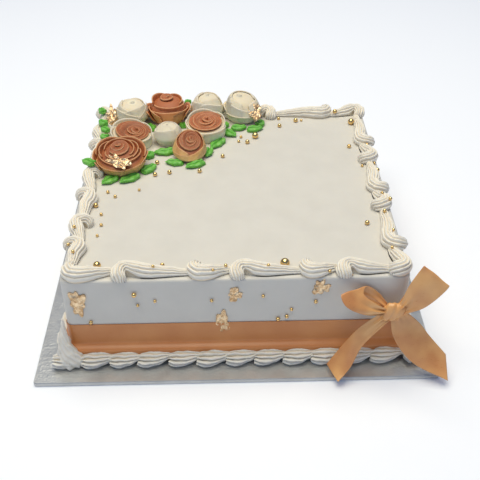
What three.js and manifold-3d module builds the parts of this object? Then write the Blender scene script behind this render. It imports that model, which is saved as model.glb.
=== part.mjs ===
// A square iced celebration cake on its foil board, with piped borders, a ribbon band and bow,
// nine piped roses with leaves, gold pearls and flakes of gold leaf.
// Millimetres, +Z up. The origin is the centre of the board's underside and the front faces -Y.
import * as THREE from "three";
import { mergeVertices } from "three/addons/utils/BufferGeometryUtils.js";
import Module from "manifold-3d";

const wasm = await Module();
wasm.setup();

// Driving sizes
const BOARD = { side: 356, thick: 4, corner: 3, edge: 0.6 };
const CAKE = { side: 296, tall: 89, corner: 6, bevel: 2.5 };
const BAND = { wide: 38, thick: 0.5, above: 3.2 };
const GAP = 0.3;
const HALF = CAKE.side / 2;
const TABLE = BOARD.thick;
const TOP = BOARD.thick + CAKE.tall;
const ARC_STEPS = 2;
// Further out than anything that stands on the cake, and higher
const BEYOND = HALF + 40;
const ABOVE = TOP + 100;
// What a cut goes past the face that it starts at
const PAST = 1;
// Share of a rose's radius that its skin starts and ends at
const POINT = 0.001;

// The border on the top edge: long and short shells whose heads curl in opposite ways by turns
const SHELL = {
  line: 9.2, curl: 4.8, tube: 7.6, tall: 12.4, eye: 7.4, overlap: 7, steps: 5, ridge: 0.93, full: 0.7,
};
// A head turns between these angles while its tube, its reach from the eye and its height grow
const HEAD = { from: -40, to: -270, tubeFrom: 32, tubeTo: 90, reach: 0.7, tall: 0.72, steps: 5 };
// A tail swings across the line of the border and thins
const TAIL = { swing: 8.2, tube: 5.2, tall: 7.4, step: 14, fewest: 3, opening: 2.4 };
const SHELL_STRIP = 24.3;
const INWARD = 1;
const OUTWARD = -1;
// Where each head starts along its side, read anticlockwise from above. A run goes from its own corner
// to the next side's run.
const CORNER = HALF + 10;
const STRIP_END = HALF - SHELL_STRIP;
const TOP_RUNS = {
  front: { first: OUTWARD, heads: [-147, -105, -42, -6, 52, 84], end: 136 },
  right: { first: OUTWARD, heads: [-150, -115, -55, -26, 30, 64], end: 132 },
  back: { first: OUTWARD, heads: [-151, -114, -52, -22, 33, 65], end: 132 },
  left: { first: INWARD, heads: [-151, -112, -82, -26, 14, 58, 92], end: 132 },
};

// The border round the foot: plain shells piped in one line
const FOOT = {
  pitch: 25.7, middle: 7.3, halfWide: 8, tall: 14.2, corner: 11.5, start: 1.2, ridge: 0.94, lastGap: 1,
};
const FOOT_WIDER = { front: 1, right: 1.05, back: 1, left: 0.95 };
// Size of a foot shell at a share of its length: a full head that thins to a tail
const FOOT_PROFILE = [[0, 0.6], [0.12, 0.96], [0.34, 1], [0.7, 0.76]];
const FOOT_ANGLES = [0, 32, 68, 104, 140, 180];
// The icing smeared up to a point at the front left corner: [x, y, z, half its width, half its depth]
const CORNER_PEAK = [
  [-147.5, -157.5, 6, 12.5, 6.5], [-146.5, -157, 14, 12, 6.2], [-148.5, -156, 21, 9, 5.4],
  [-150.5, -153.8, 32, 5.2, 4], [-150.5, -151.2, 44, 2.6, 2], [-150, -150.3, 54, 0.8, 0.8],
];
const PEAK_SIDES = 10;

const TURN = { front: 0, right: 90, back: 180, left: 270 };

// Piped roses: where each stands on the top, its width across the rim and its height. Towards its middle a
// rose leans to its eye, and its height grows by its slope across it.
const ROSES = [
  { name: "rose_1_white_open",
    x: -109, y: 129, r: 16.6, tall: 24.5, kind: "dome", colour: "white", turn: 20,
    eye: [1, 2], slope: [0, 0.05] },
  { name: "rose_2_copper_open",
    x: -69.3, y: 131, r: 22.8, tall: 28, kind: "cone", colour: "copper", turn: 65,
    eye: [1.5, 3], slope: [0, 0] },
  { name: "rose_3_white_dome",
    x: -26, y: 139, r: 18.4, tall: 27, kind: "dome", colour: "white", turn: 10,
    eye: [1, 2], slope: [0, 0] },
  { name: "rose_4_white_open",
    x: 13.5, y: 135, r: 20.3, tall: 27, kind: "dome", colour: "white", turn: 50,
    eye: [-4, 4], slope: [-0.06, 0.06] },
  { name: "rose_5_copper_white",
    x: -105.5, y: 81, r: 21.6, tall: 17.5, kind: "disc", colour: "copper", turn: 0,
    eye: [6, 2.5], slope: [-0.13, 0.16] },
  { name: "rose_6_white_bud",
    x: -67, y: 84.5, r: 16.2, tall: 21.5, kind: "dome", colour: "white", turn: 40,
    eye: [0, 0], slope: [0, 0] },
  { name: "rose_7_copper_white",
    x: -27.5, y: 97, r: 21.5, tall: 18.5, kind: "disc", colour: "copper", turn: 30,
    eye: [2.3, 4], slope: [-0.02, 0.2] },
  { name: "rose_8_copper_small",
    x: -44, y: 54, r: 17, tall: 19, kind: "bulb", colour: "copper", turn: 75,
    eye: [3, 2.5], slope: [-0.03, 0.5] },
  { name: "rose_9_copper_large",
    x: -112.5, y: 33.5, r: 25.8, tall: 20, kind: "open", colour: "copper", turn: -10,
    eye: [-2, 8], slope: [-0.03, 0.2] },
];
// The lowest part of a rose stays narrow, so that leaves lie under its petals
const ROSE_FOOT = { share: 0.7, tall: 2.9, skirt: 0.89, skirtTall: 4.6 };
// Outline of each kind of rose above its foot, from the outside to the middle. Each point is a share of
// the radius, a share of the height, and the row of petals whose wave it follows.
const ROSE_OUTLINE = {
  open: [
    [0.95, 0.36, "outer"], [1.02, 0.7, "outer"], [1.03, 0.92, "outer"], [0.94, 0.9, "outer"],
    [0.84, 0.74, "none"], [0.77, 0.96, "inner"], [0.66, 0.94, "inner"], [0.54, 0.82, "none"],
    [0.45, 1.08, "none"],
  ],
  cone: [
    [0.9, 0.3, "outer"], [1, 0.6, "outer"], [1.05, 0.74, "outer"], [0.95, 0.72, "outer"],
    [0.84, 0.64, "none"], [0.79, 0.88, "inner"], [0.75, 1, "inner"], [0.64, 0.96, "inner"],
    [0.42, 1.04, "none"],
  ],
  disc: [
    [0.95, 0.36, "inner"], [1, 0.7, "inner"], [0.99, 0.95, "inner"], [0.92, 0.95, "inner"],
    [0.9, 0.86, "none"], [0.86, 0.96, "none"], [0.62, 0.93, "none"], [0.3, 0.95, "none"],
  ],
  bulb: [
    [0.94, 0.32, "none"], [1.03, 0.52, "inner"], [0.97, 0.76, "inner"], [0.82, 0.92, "inner"],
    [0.75, 0.88, "none"], [0.7, 0.98, "none"], [0.4, 0.96, "none"],
  ],
  dome: [
    [0.95, 0.32, "none"], [1, 0.5, "inner"], [0.96, 0.68, "inner"], [0.86, 0.82, "inner"],
    [0.66, 0.93, "none"], [0.36, 0.98, "none"],
  ],
};
const ROSE_MIDDLE = { open: 1.1, cone: 1.04, disc: 0.97, bulb: 1, dome: 0.98 };
// Waves of the two rows of petals: how many petals, how far their edges draw in and drop
const ROSE_WAVES = {
  outer: { count: 5, inward: 0.07, drop: 0.12, shift: 0 },
  inner: { count: 3, inward: 0.03, drop: 0.05, shift: 0.4 },
  none: { count: 1, inward: 0, drop: 0, shift: 0 },
};
const ROSE_SIDES = 17;

// Piped leaves: where each starts, its heading, length and width, how far it is raised and its tip rises
const ON_BORDER = 13.6;
const LEAVES = [
  { x: -137, y: 17.5, heading: 138, length: 15, wide: 9, raised: ON_BORDER, rise: 1.5 },
  { x: -114.5, y: 14, heading: -139, length: 19, wide: 11, raised: 0, rise: 1.5 },
  { x: -94, y: 17, heading: -136, length: 22, wide: 11, raised: 0, rise: 1 },
  { x: -90.5, y: 20, heading: 49, length: 19, wide: 11, raised: 0, rise: 1.5 },
  { x: -88.5, y: 48, heading: 66, length: 13, wide: 10, raised: 0, rise: 0.5 },
  { x: -60, y: 62, heading: -166, length: 21, wide: 11, raised: 0, rise: 1.5 },
  { x: -49.8, y: 37.4, heading: 171, length: 18, wide: 10, raised: 0, rise: 1.5 },
  { x: -28.5, y: 39.5, heading: -146, length: 21, wide: 10, raised: 0, rise: 1 },
  { x: -23, y: 65, heading: -104, length: 16, wide: 9, raised: 0, rise: 1.5 },
  { x: -8.5, y: 85.5, heading: -128, length: 23, wide: 11, raised: 0, rise: 1 },
  { x: -6.5, y: 103, heading: -56, length: 16, wide: 10, raised: 0, rise: 1.5 },
  { x: -0.5, y: 109, heading: 0, length: 17, wide: 10, raised: 0, rise: 1.5 },
  { x: -8.5, y: 110, heading: 84, length: 12, wide: 9, raised: 0, rise: 0.5 },
  { x: 17, y: 105.5, heading: 0, length: 17, wide: 10.5, raised: 0, rise: 1.5 },
  { x: 28.5, y: 113.5, heading: 50, length: 12, wide: 9, raised: 0, rise: 1.5 },
  { x: -47, y: 145.5, heading: 110, length: 7, wide: 7, raised: ON_BORDER, rise: 1.5 },
  { x: -51.5, y: 112.5, heading: 105, length: 8, wide: 8, raised: 0, rise: 0 },
  { x: -85.5, y: 106, heading: 112, length: 15, wide: 10, raised: 0, rise: 0 },
  { x: -139.5, y: 126, heading: 116, length: 10, wide: 8, raised: ON_BORDER, rise: 1.5 },
  { x: -133.5, y: 98, heading: 137, length: 13, wide: 9, raised: ON_BORDER, rise: 1.5 },
  { x: -130, y: 84, heading: 135, length: 11, wide: 8, raised: ON_BORDER, rise: 1.5 },
  { x: -129, y: 70.5, heading: 155, length: 9, wide: 8, raised: ON_BORDER, rise: 1.5 },
  { x: -49.3, y: 84, heading: 100, length: 12, wide: 9, raised: 0, rise: 0 },
];
const LEAF = { thick: 1.3, crease: 0.8, ruffle: 0.45, waves: 2.4, stations: 4, wider: 1.2 };
const LEAF_WIDTHS = [0.5, 0.95, 1, 0.68, 0.08];

// Gold pearls: [x, y, width] on the top and its border, and [x, z, width] on the front.
// The middle of one is a share of its width above what it is pressed into, or what it only lies on.
const PEARL_SEAT = 0.37;
const PEARL_CLEAR = 0.43;
const PEARLS_ON_TOP = [
  [-117.8, -129.2, 6.8], [-69, -141, 2.8], [-62.3, -129, 4], [-18.8, -145, 2.6], [-8.1, -137.3, 3],
  [27.7, -141, 2.8], [42.4, -131.3, 8.4], [79.3, -144, 2.8], [97.6, -145.5, 2.8],
  [-130, -37.1, 4.7], [-123.5, -51, 3.2], [-121.5, -68, 3.2], [-123.2, -84.3, 2.8], [-143, -82.4, 3.2],
  [-139, -118.3, 3.2], [-121.3, -13.6, 3.4], [-113.5, -21.5, 3.4], [-144.9, -27, 2.8], [-145.5, -104.7, 3],
  [-91.3, -10.4, 2.9], [-77.5, 16.3, 4.5], [-76.8, 39.2, 4.6], [-63.3, 20.2, 4.5], [-33.1, 21.7, 4.5],
  [-9.7, 50.3, 4.2], [7.5, 80.9, 3.2], [10.1, 90.2, 3.2], [16.7, 78.2, 4.8], [25.4, 89.7, 7],
  [53, 130, 3.4], [53, 113.1, 4.4], [71.6, 124.2, 5], [78, 125.4, 2.8], [116.2, 134.8, 5],
  [132.2, 117.1, 7.2],
  [123.4, 66, 4.4], [141.5, 62.5, 4.2], [131.7, 27.5, 3], [145, 32.1, 2.8], [145.6, 17.9, 4.5],
  [140.4, -37.1, 3.4], [146.5, -46.4, 3.8], [138.9, -62.1, 3.7], [121.7, -72.6, 4.6], [140.9, -94.9, 3.2],
  [136, -117.4, 2.8],
];
const PEARLS_IN_FRONT = [
  [-86.2, 79, 4.4], [-84, 66.8, 2.8], [-69, 71.2, 2.8], [-126, 48.4, 3.6], [-20.6, 70.8, 3],
  [23.3, 74.7, 3], [47.9, 59, 3], [44, 51.2, 3.4], [36.5, 48.4, 3.8], [68.5, 67.5, 3.4],
];
// Flakes of gold leaf on the front: middle, width and height
const FLAKES_IN_FRONT = [
  { x: -134.8, z: 70.3, wide: 14.4, tall: 26 },
  { x: -0.9, z: 76.5, wide: 13, tall: 13.4 },
  { x: -11.6, z: 46.7, wide: 10.7, tall: 24 },
  { x: 72, z: 82.5, wide: 14, tall: 15 },
];
const FLAKE = { thick: 1.5, buried: 0.4, points: 9, leastReach: 0.62, seed: 11 };
// Flakes of gold leaf pressed on roses: middle, with its height over the top, and reach across and upwards
const FLAKES_ON_ROSES = {
  rose_1_white_open: { middle: [-128.5, 122, 13], across: [8.5, 0, 1], up: [0, 6, 8] },
  rose_4_white_open: { middle: [26.5, 121, 14], across: [7, 2, -1], up: [0, 6, 8] },
  rose_9_copper_large: { middle: [-112, 17, 16], across: [11.5, -5, 0], up: [-3, 9, 2.5] },
};
// How deep a flake goes into its rose, what its ends keep of its width, and its crumples
const ROSE_FLAKE = { deep: 3.4, ends: 0.5, crumple: 0.6, folds: 9 };

// The bow's ribbon, as the two edges of each strip
const RIBBON = { thick: 0.9, across: 2 };
const KNOT = { x: 135, y: -161, z: 65.5, wide: 23, deep: 11, tall: 18, around: 9, down: 6 };
const BOW = {
  leftLoop: {
    edge: [
      [128, -157, 71], [121, -152.5, 79], [110, -152.5, 86.5],
      [107, -159, 83], [117, -163, 76], [128, -162, 69],
    ],
    rim: [
      [127, -157, 62], [108, -154.5, 70], [87, -164, 87.5],
      [90, -171, 81.5], [107, -169.5, 69.5], [128, -163, 63],
    ],
    steps: 10,
  },
  rightLoop: {
    edge: [[138, -157, 72], [149, -153, 92], [154, -158, 112], [143.5, -162, 95], [137, -163, 73]],
    rim: [[141, -157, 64], [157, -155, 79], [175, -166, 96.5], [158, -168.5, 76.5], [141, -165, 65]],
    steps: 9,
  },
  leftTail: {
    edge: [[130, -160, 67], [108, -162, 51], [94, -164, 33], [79, -168, 11]],
    rim: [[131, -163, 57], [108, -170, 33], [98, -179, 17], [87, -187, 8]],
    steps: 5,
  },
  rightTail: {
    edge: [[131, -161, 64], [135, -167, 41], [152, -176, 19], [182, -188, 8]],
    rim: [[140, -160, 68], [157, -161, 52], [167, -163, 38.5], [183, -168, 20]],
    steps: 5,
  },
};

// Small helpers
const rad = THREE.MathUtils.degToRad;
const lerp = THREE.MathUtils.lerp;
const smooth = (t) => THREE.MathUtils.smoothstep(t, 0, 1);
const vec = (x, y, z) => new THREE.Vector3(x, y, z);
const WELD = 1e-4;

// Numbers between 0 and 1 that are the same on every run
function seeded(seed) {
  let state = seed;
  return () => {
    state = (state * 16807) % 2147483647;
    return state / 2147483647;
  };
}

// Six times the signed volume under a list of triangles, which is negative when they face inwards
function facing(points, triangles) {
  const corner = (i) => vec().fromArray(points, 3 * triangles[i]);
  let sum = 0;
  for (let i = 0; i < triangles.length; i += 3) {
    sum += corner(i).dot(corner(i + 1).cross(corner(i + 2)));
  }
  return sum;
}

// The closed solid that a geometry's triangles bound
function solid(geometry) {
  const bare = new THREE.BufferGeometry();
  bare.setAttribute("position", geometry.getAttribute("position"));
  bare.setIndex(geometry.index);
  const merged = mergeVertices(bare, WELD);
  const points = merged.getAttribute("position").array;
  const triangles = [];
  const index = merged.index.array;
  for (let i = 0; i < index.length; i += 3) {
    const [a, b, c] = index.slice(i, i + 3);
    if (a !== b && b !== c && c !== a) triangles.push(a, b, c);
  }
  if (facing(points, triangles) < 0) triangles.reverse();
  return new wasm.Manifold(
    new wasm.Mesh({ numProp: 3, vertProperties: points, triVerts: new Uint32Array(triangles) }),
  );
}

// The solid bounded by a flat list of corners, three to a triangle
function solidOfCorners(corners) {
  return solid(new THREE.BufferGeometry().setFromPoints(corners));
}

// A skin through rings of equal length, with a fan over each end
function loft(rings) {
  const corners = [];
  const count = rings[0].length;
  for (let i = 0; i + 1 < rings.length; i++) {
    for (let j = 0; j < count; j++) {
      const k = (j + 1) % count;
      corners.push(rings[i][j], rings[i][k], rings[i + 1][k]);
      corners.push(rings[i][j], rings[i + 1][k], rings[i + 1][j]);
    }
  }
  corners.push(...fan(rings.at(-1)), ...fan([...rings[0]].reverse()));
  return solidOfCorners(corners);
}

function fan(ring) {
  const middle = vec(0, 0, 0);
  for (const point of ring) middle.addScaledVector(point, 1 / ring.length);
  return ring.flatMap((point, j) => [middle, point, ring[(j + 1) % ring.length]]);
}

// A closed sheet between two grids of points, with both faces split into triangles alike
function sheet(front, back) {
  const corners = [];
  const quad = (a, b, c, d) => corners.push(a, b, c, a, c, d);
  const rows = front.length - 1;
  const columns = front[0].length - 1;
  for (let i = 0; i < rows; i++) {
    for (let j = 0; j < columns; j++) {
      quad(front[i][j], front[i][j + 1], front[i + 1][j + 1], front[i + 1][j]);
      quad(back[i][j], back[i + 1][j], back[i + 1][j + 1], back[i][j + 1]);
    }
    quad(front[i][0], front[i + 1][0], back[i + 1][0], back[i][0]);
    quad(front[i][columns], back[i][columns], back[i + 1][columns], front[i + 1][columns]);
  }
  for (let j = 0; j < columns; j++) {
    quad(front[0][j], back[0][j], back[0][j + 1], front[0][j + 1]);
    quad(front[rows][j], front[rows][j + 1], back[rows][j + 1], back[rows][j]);
  }
  return solidOfCorners(corners);
}

// A grid of points, one row for each step from 0 to 1
function grid(rows, columns, point) {
  return Array.from({ length: rows + 1 }, (_, i) =>
    Array.from({ length: columns + 1 }, (_, j) => point(i / rows, j / columns)),
  );
}

function joined(solids) {
  return solids.reduce((whole, next) => whole.add(next));
}

// A box between these limits, turned about the middle of the cake
function block(x0, x1, y0, y1, z0, z1, turn = 0) {
  const box = new THREE.BoxGeometry(x1 - x0, y1 - y0, z1 - z0);
  box.translate((x0 + x1) / 2, (y0 + y1) / 2, (z0 + z1) / 2);
  box.rotateZ(rad(turn));
  return solid(box);
}

function turnedZ(rings, degrees) {
  const axis = vec(0, 0, 1);
  return rings.map((ring) => ring.map((point) => point.clone().applyAxisAngle(axis, rad(degrees))));
}

// A square with round corners, drawn anticlockwise
function roundedSquare(half, corner, path = new THREE.Shape()) {
  const inner = half - corner;
  path.absarc(inner, inner, corner, 0, rad(90));
  path.absarc(-inner, inner, corner, rad(90), rad(180));
  path.absarc(-inner, -inner, corner, rad(180), rad(270));
  path.absarc(inner, -inner, corner, rad(270), rad(360));
  path.closePath();
  return path;
}

// A square slab with round corners and bevelled edges
function slab(side, corner, bevel, steps, z0, z1) {
  const shape = roundedSquare(side / 2 - bevel, Math.max(corner - bevel, bevel));
  const geometry = new THREE.ExtrudeGeometry(shape, {
    depth: z1 - z0 - 2 * bevel,
    curveSegments: ARC_STEPS,
    bevelSize: bevel,
    bevelThickness: bevel,
    bevelSegments: steps,
  });
  geometry.translate(0, 0, z0 + bevel);
  return solid(geometry);
}

// The ribbon round the sides
function band() {
  const shape = roundedSquare(HALF + GAP + BAND.thick, CAKE.corner + GAP + BAND.thick);
  shape.holes.push(roundedSquare(HALF + GAP, CAKE.corner + GAP, new THREE.Path()));
  const geometry = new THREE.ExtrudeGeometry(shape, {
    depth: BAND.wide,
    curveSegments: ARC_STEPS,
    bevelEnabled: false,
  });
  geometry.translate(0, 0, TABLE + BAND.above);
  return solid(geometry);
}

// Cross-section of a shell: ridges over a half round, from the outer foot to the inner side
function shellSection(middle, out, { tube, inner, tall, innerTall }) {
  const ring = [];
  for (let j = 0; j <= SHELL.steps; j++) {
    const angle = (Math.PI * j) / SHELL.steps;
    const isOuter = Math.cos(angle) > 0;
    const across = Math.cos(angle) * (isOuter ? tube : inner);
    const crest = tall * (j % 2 ? 1 : SHELL.ridge);
    const base = isOuter ? 0 : innerTall;
    const z = base + (crest - base) * Math.sin(angle) ** SHELL.full;
    ring.push(vec(middle.x + out.x * across, middle.y + out.y * across, j === SHELL.steps ? innerTall : z));
  }
  const foot = ring.at(-1).clone();
  foot.z = 0;
  return [...ring, foot];
}

// The head of a shell: it curls about its eye, from the middle of the strip round to the far side
function shellHead(eye, hand) {
  const rings = [];
  for (let i = 0; i <= HEAD.steps; i++) {
    const s = i / HEAD.steps;
    const angle = rad(lerp(HEAD.from, HEAD.to, s));
    const out = vec(Math.cos(angle), hand * Math.sin(angle), 0);
    const grown = Math.sin(rad(lerp(HEAD.tubeFrom, HEAD.tubeTo, s)));
    const reach = SHELL.curl * lerp(HEAD.reach, 1, s);
    rings.push(
      shellSection(eye.clone().addScaledVector(out, reach), out, {
        tube: SHELL.tube * grown,
        inner: reach,
        tall: SHELL.tall * lerp(HEAD.tall, 1, s),
        innerTall: SHELL.eye,
      }),
    );
  }
  return rings;
}

// The tail of a shell: it tapers and swings back across the line of the border
function shellTail(eye, hand, length) {
  const rings = [];
  const steps = Math.max(TAIL.fewest, Math.round(length / TAIL.step));
  for (let i = 1; i <= steps; i++) {
    const t = i / steps;
    const middle = vec(eye.x + length * t, eye.y + hand * (SHELL.curl - TAIL.swing * smooth(t)), 0);
    const slope = (TAIL.swing * 6 * t * (1 - t)) / length;
    const out = vec(slope, hand, 0).normalize();
    const tube = lerp(SHELL.tube, TAIL.tube, t);
    const opened = Math.min(1, t * TAIL.opening);
    rings.push(
      shellSection(middle, out, {
        tube,
        inner: lerp(SHELL.curl, tube, opened),
        tall: lerp(SHELL.tall, TAIL.tall, t),
        innerTall: lerp(SHELL.eye, 0, opened),
      }),
    );
  }
  return rings;
}

// One side of the border on the top edge, parted from its neighbours at the corners
function topBorder(side) {
  const { first, heads, end } = TOP_RUNS[side];
  const shells = heads.map((start, i) => {
    const hand = i % 2 ? -first : first;
    const eye = vec(start + SHELL.curl + SHELL.tube, -HALF + SHELL.line, 0);
    const next = heads[i + 1] === undefined ? end : heads[i + 1] + SHELL.overlap;
    const rings = [...shellHead(eye, hand), ...shellTail(eye, hand, next - eye.x)];
    const raised = rings.map((ring) => ring.map((point) => point.clone().setZ(point.z + TOP)));
    return loft(turnedZ(raised, TURN[side]));
  });
  const inner = -HALF + SHELL_STRIP - GAP;
  const keep = block(-CORNER, STRIP_END, -BEYOND, inner, TOP - PAST, ABOVE, TURN[side]);
  return joined(shells).intersect(keep);
}

// Cross-section of the border round the foot: ridges over a half round
function footSection(along, size, wider) {
  return FOOT_ANGLES.map((angle, j) => {
    const ridge = j % 2 ? 1 : FOOT.ridge;
    const half = FOOT.halfWide * wider * size;
    const across = FOOT.middle * wider + half * Math.cos(rad(angle)) * ridge;
    const z = TABLE + FOOT.tall * size * Math.sin(rad(angle)) * ridge;
    return vec(along, -HALF - Math.max(across, FOOT.start), z);
  });
}

// One side of the border round the foot, from its own corner to the next side's border
function footBorder(side) {
  const wider = FOOT_WIDER[side];
  const start = -HALF - FOOT.corner;
  const rings = [];
  for (let shell = 0; start + shell * FOOT.pitch < HALF; shell++) {
    for (const [share, size] of FOOT_PROFILE) {
      const along = start + (shell + share) * FOOT.pitch;
      if (along < HALF - FOOT.lastGap) rings.push(footSection(along, size, wider));
    }
  }
  rings.push(footSection(HALF, FOOT_PROFILE[0][1], wider));
  return loft(turnedZ(rings, TURN[side]));
}

// Icing smeared up the front left corner
function cornerPeak() {
  const rings = CORNER_PEAK.map(([x, y, z, wide, deep]) =>
    Array.from({ length: PEAK_SIDES }, (_, i) => {
      const angle = (2 * Math.PI * i) / PEAK_SIDES;
      return vec(x + wide * Math.cos(angle), y + deep * Math.sin(angle), z);
    }),
  );
  return loft(rings);
}

// How far a place round a rose is from the middle of its petal: 0 in the middle and 1 at the joints
function fromPetalMiddle(wave, degrees) {
  const share = THREE.MathUtils.euclideanModulo((degrees * wave.count) / 360 + wave.shift, 1);
  return (2 * share - 1) ** 2;
}

function rosePoint(rose, degrees, [share, height, row]) {
  const wave = ROSE_WAVES[row];
  const away = fromPetalMiddle(wave, degrees);
  const radius = rose.r * (share - wave.inward * away);
  const angle = rad(degrees + rose.turn);
  const lean = Math.max(0, 1 - share);
  const x = radius * Math.cos(angle) + rose.eye[0] * lean;
  const y = radius * Math.sin(angle) + rose.eye[1] * lean;
  const raised = 1 + (rose.slope[0] * x + rose.slope[1] * y) / rose.r;
  return vec(rose.x + x, rose.y + y, TOP + rose.tall * height * (1 - wave.drop * away) * raised);
}

// The rose's skin is lofted from the foot, over the rows of petals, to the middle
function roseBody(rose) {
  const outline = [
    [POINT, 0, "none"],
    [ROSE_FOOT.share, 0, "none"],
    [ROSE_FOOT.share, ROSE_FOOT.tall / rose.tall, "none"],
    [ROSE_FOOT.skirt, ROSE_FOOT.skirtTall / rose.tall, "none"],
    ...ROSE_OUTLINE[rose.kind],
    [POINT, ROSE_MIDDLE[rose.kind], "none"],
  ];
  const rings = outline.map((point) =>
    Array.from({ length: ROSE_SIDES }, (_, i) => rosePoint(rose, (360 * i) / ROSE_SIDES, point)),
  );
  return loft(rings);
}

// A crumpled flake of gold leaf, sunk into its rose
function roseFlake({ middle, across, up }) {
  const off = vec(...across).cross(vec(...up)).normalize();
  const point = (back) => (v, u) => {
    const reach = (2 * u - 1) * lerp(1, ROSE_FLAKE.ends, Math.abs(2 * v - 1));
    const lift = ROSE_FLAKE.crumple * Math.sin(ROSE_FLAKE.folds * u) - back * ROSE_FLAKE.deep;
    return vec(middle[0], middle[1], TOP + middle[2])
      .addScaledVector(vec(...across), reach)
      .addScaledVector(vec(...up), 2 * v - 1)
      .addScaledVector(off, lift);
  };
  return sheet(grid(2, 3, point(0)), grid(2, 3, point(1)));
}

// A rose, with the room that the top border takes cut out of its underside
function roseSolid(rose) {
  const flake = FLAKES_ON_ROSES[rose.name];
  const whole = flake ? roseBody(rose).add(roseFlake(flake)) : roseBody(rose);
  const borderTop = TOP + SHELL.tall + 2 * GAP;
  return whole
    .subtract(block(-BEYOND, -STRIP_END, -BEYOND, BEYOND, TOP - PAST, borderTop))
    .subtract(block(-BEYOND, BEYOND, STRIP_END, BEYOND, TOP - PAST, borderTop));
}

// A leaf with a crease down the middle and ruffled edges, lying on what is under it
function leafSolid(leaf, number) {
  const heading = rad(leaf.heading);
  const point = (under) => (s, u) => {
    const side = 2 * u - 1;
    const station = Math.round(s * LEAF.stations);
    const half = (leaf.wide / 2) * LEAF.wider * LEAF_WIDTHS[station];
    const ruffle = LEAF.ruffle * Math.abs(side) * Math.sin(LEAF.waves * station + number + side);
    const lift = LEAF.thick + LEAF.ruffle + LEAF.crease * Math.abs(side) + ruffle + leaf.rise * s * s;
    const along = leaf.length * s;
    const x = leaf.x + along * Math.cos(heading) - side * half * Math.sin(heading);
    const y = leaf.y + along * Math.sin(heading) + side * half * Math.cos(heading);
    return vec(x, y, TOP + leaf.raised + lift - under * LEAF.thick);
  };
  return sheet(grid(LEAF.stations, 2, point(0)), grid(LEAF.stations, 2, point(1)));
}

function pearl(x, y, z, wide) {
  const ball = new THREE.IcosahedronGeometry(wide / 2);
  ball.translate(x, y, z);
  return solid(ball);
}

// Height of the upper surface of a solid over a place
function heightOver(shape, x, y) {
  const mesh = new THREE.Mesh(geometryOf(shape), new THREE.MeshBasicMaterial());
  const ray = new THREE.Raycaster(vec(x, y, ABOVE), vec(0, 0, -1));
  return ray.intersectObject(mesh)[0]?.point.z;
}

// An irregular torn flake standing against the front of the cake
function frontFlake({ x, z, wide, tall }, number) {
  const random = seeded(FLAKE.seed + number);
  const outline = new THREE.Shape();
  for (let i = 0; i < FLAKE.points; i++) {
    const angle = (2 * Math.PI * i) / FLAKE.points;
    const reach = 0.5 * lerp(FLAKE.leastReach, 1, random());
    const across = x + wide * reach * Math.cos(angle);
    const up = z + tall * reach * Math.sin(angle);
    if (i) outline.lineTo(across, up);
    else outline.moveTo(across, up);
  }
  outline.closePath();
  const depth = FLAKE.thick + FLAKE.buried;
  const geometry = new THREE.ExtrudeGeometry(outline, { depth, bevelEnabled: false });
  geometry.rotateX(rad(90));
  geometry.translate(0, -HALF + FLAKE.buried, 0);
  return solid(geometry);
}

// The iced cake, with the pearls and flakes that stick to it
function cakeSolid(pearlsOnTop) {
  const body = slab(CAKE.side, CAKE.corner, CAKE.bevel, 2, TABLE, TOP);
  const inFront = PEARLS_IN_FRONT.map(([x, z, wide]) => pearl(x, -HALF - wide * PEARL_SEAT, z, wide));
  const flakes = FLAKES_IN_FRONT.map(frontFlake);
  const bandTop = TABLE + BAND.above + BAND.wide + GAP;
  const bandFace = HALF + 2 * GAP + BAND.thick;
  const bandRoom = block(-HALF, HALF, -bandFace, -HALF, TABLE, bandTop);
  return joined([body, ...pearlsOnTop, ...inFront, ...flakes]).subtract(bandRoom);
}

// Seats each pearl on the border under it or beside it, and else on the cake
function seatPearls(borders) {
  const onCake = [];
  for (const [x, y, wide] of PEARLS_ON_TOP) {
    const under = Object.keys(borders).find((side) => heightOver(borders[side], x, y) !== undefined);
    const clear = TOP + wide * PEARL_CLEAR;
    const beside = pearl(x, y, clear, wide);
    const touched = Object.keys(borders).find((side) => borders[side].intersect(beside).volume() > 0);
    if (under) {
      const z = heightOver(borders[under], x, y) + wide * PEARL_SEAT - GAP;
      borders[under] = borders[under].add(pearl(x, y, Math.max(z, clear), wide));
    } else if (touched) {
      borders[touched] = borders[touched].add(beside);
    } else {
      onCake.push(pearl(x, y, TOP + wide * PEARL_SEAT, wide));
    }
  }
  return onCake;
}

// A strip of ribbon between two edge curves
function ribbon({ edge, rim, steps }) {
  const curves = [edge, rim].map((list) => new THREE.CatmullRomCurve3(list.map((p) => vec(...p))));
  const surface = grid(steps, RIBBON.across, (t, u) => curves[0].getPoint(t).lerp(curves[1].getPoint(t), u));
  const thickened = surface.map((row, i) =>
    row.map((point) => {
      const before = surface[Math.max(i - 1, 0)];
      const after = surface[Math.min(i + 1, steps)];
      const along = after[1].clone().sub(before[1]);
      const normal = row.at(-1).clone().sub(row[0]).cross(along).normalize();
      return point.clone().addScaledVector(normal, RIBBON.thick);
    }),
  );
  return sheet(surface, thickened);
}

function knot() {
  const ball = new THREE.SphereGeometry(0.5, KNOT.around, KNOT.down);
  ball.scale(KNOT.wide, KNOT.deep, KNOT.tall);
  ball.translate(KNOT.x, KNOT.y, KNOT.z);
  return solid(ball);
}

function bowSolid() {
  return joined([knot(), ...Object.values(BOW).map(ribbon)]);
}

// Colours, roughness and metalness of what each piece is made of
const LOOKS = {
  foil: { color: "#b3b8bd", roughness: 0.35, metalness: 0.85 },
  icing: { color: "#e4dfd4", roughness: 0.55, metalness: 0 },
  satin: { color: "#b9844f", roughness: 0.4, metalness: 0 },
  copper: { color: "#b5704a", roughness: 0.5, metalness: 0 },
  white: { color: "#e8e0cf", roughness: 0.6, metalness: 0 },
  leaf: { color: "#5aa53c", roughness: 0.5, metalness: 0 },
};

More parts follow.
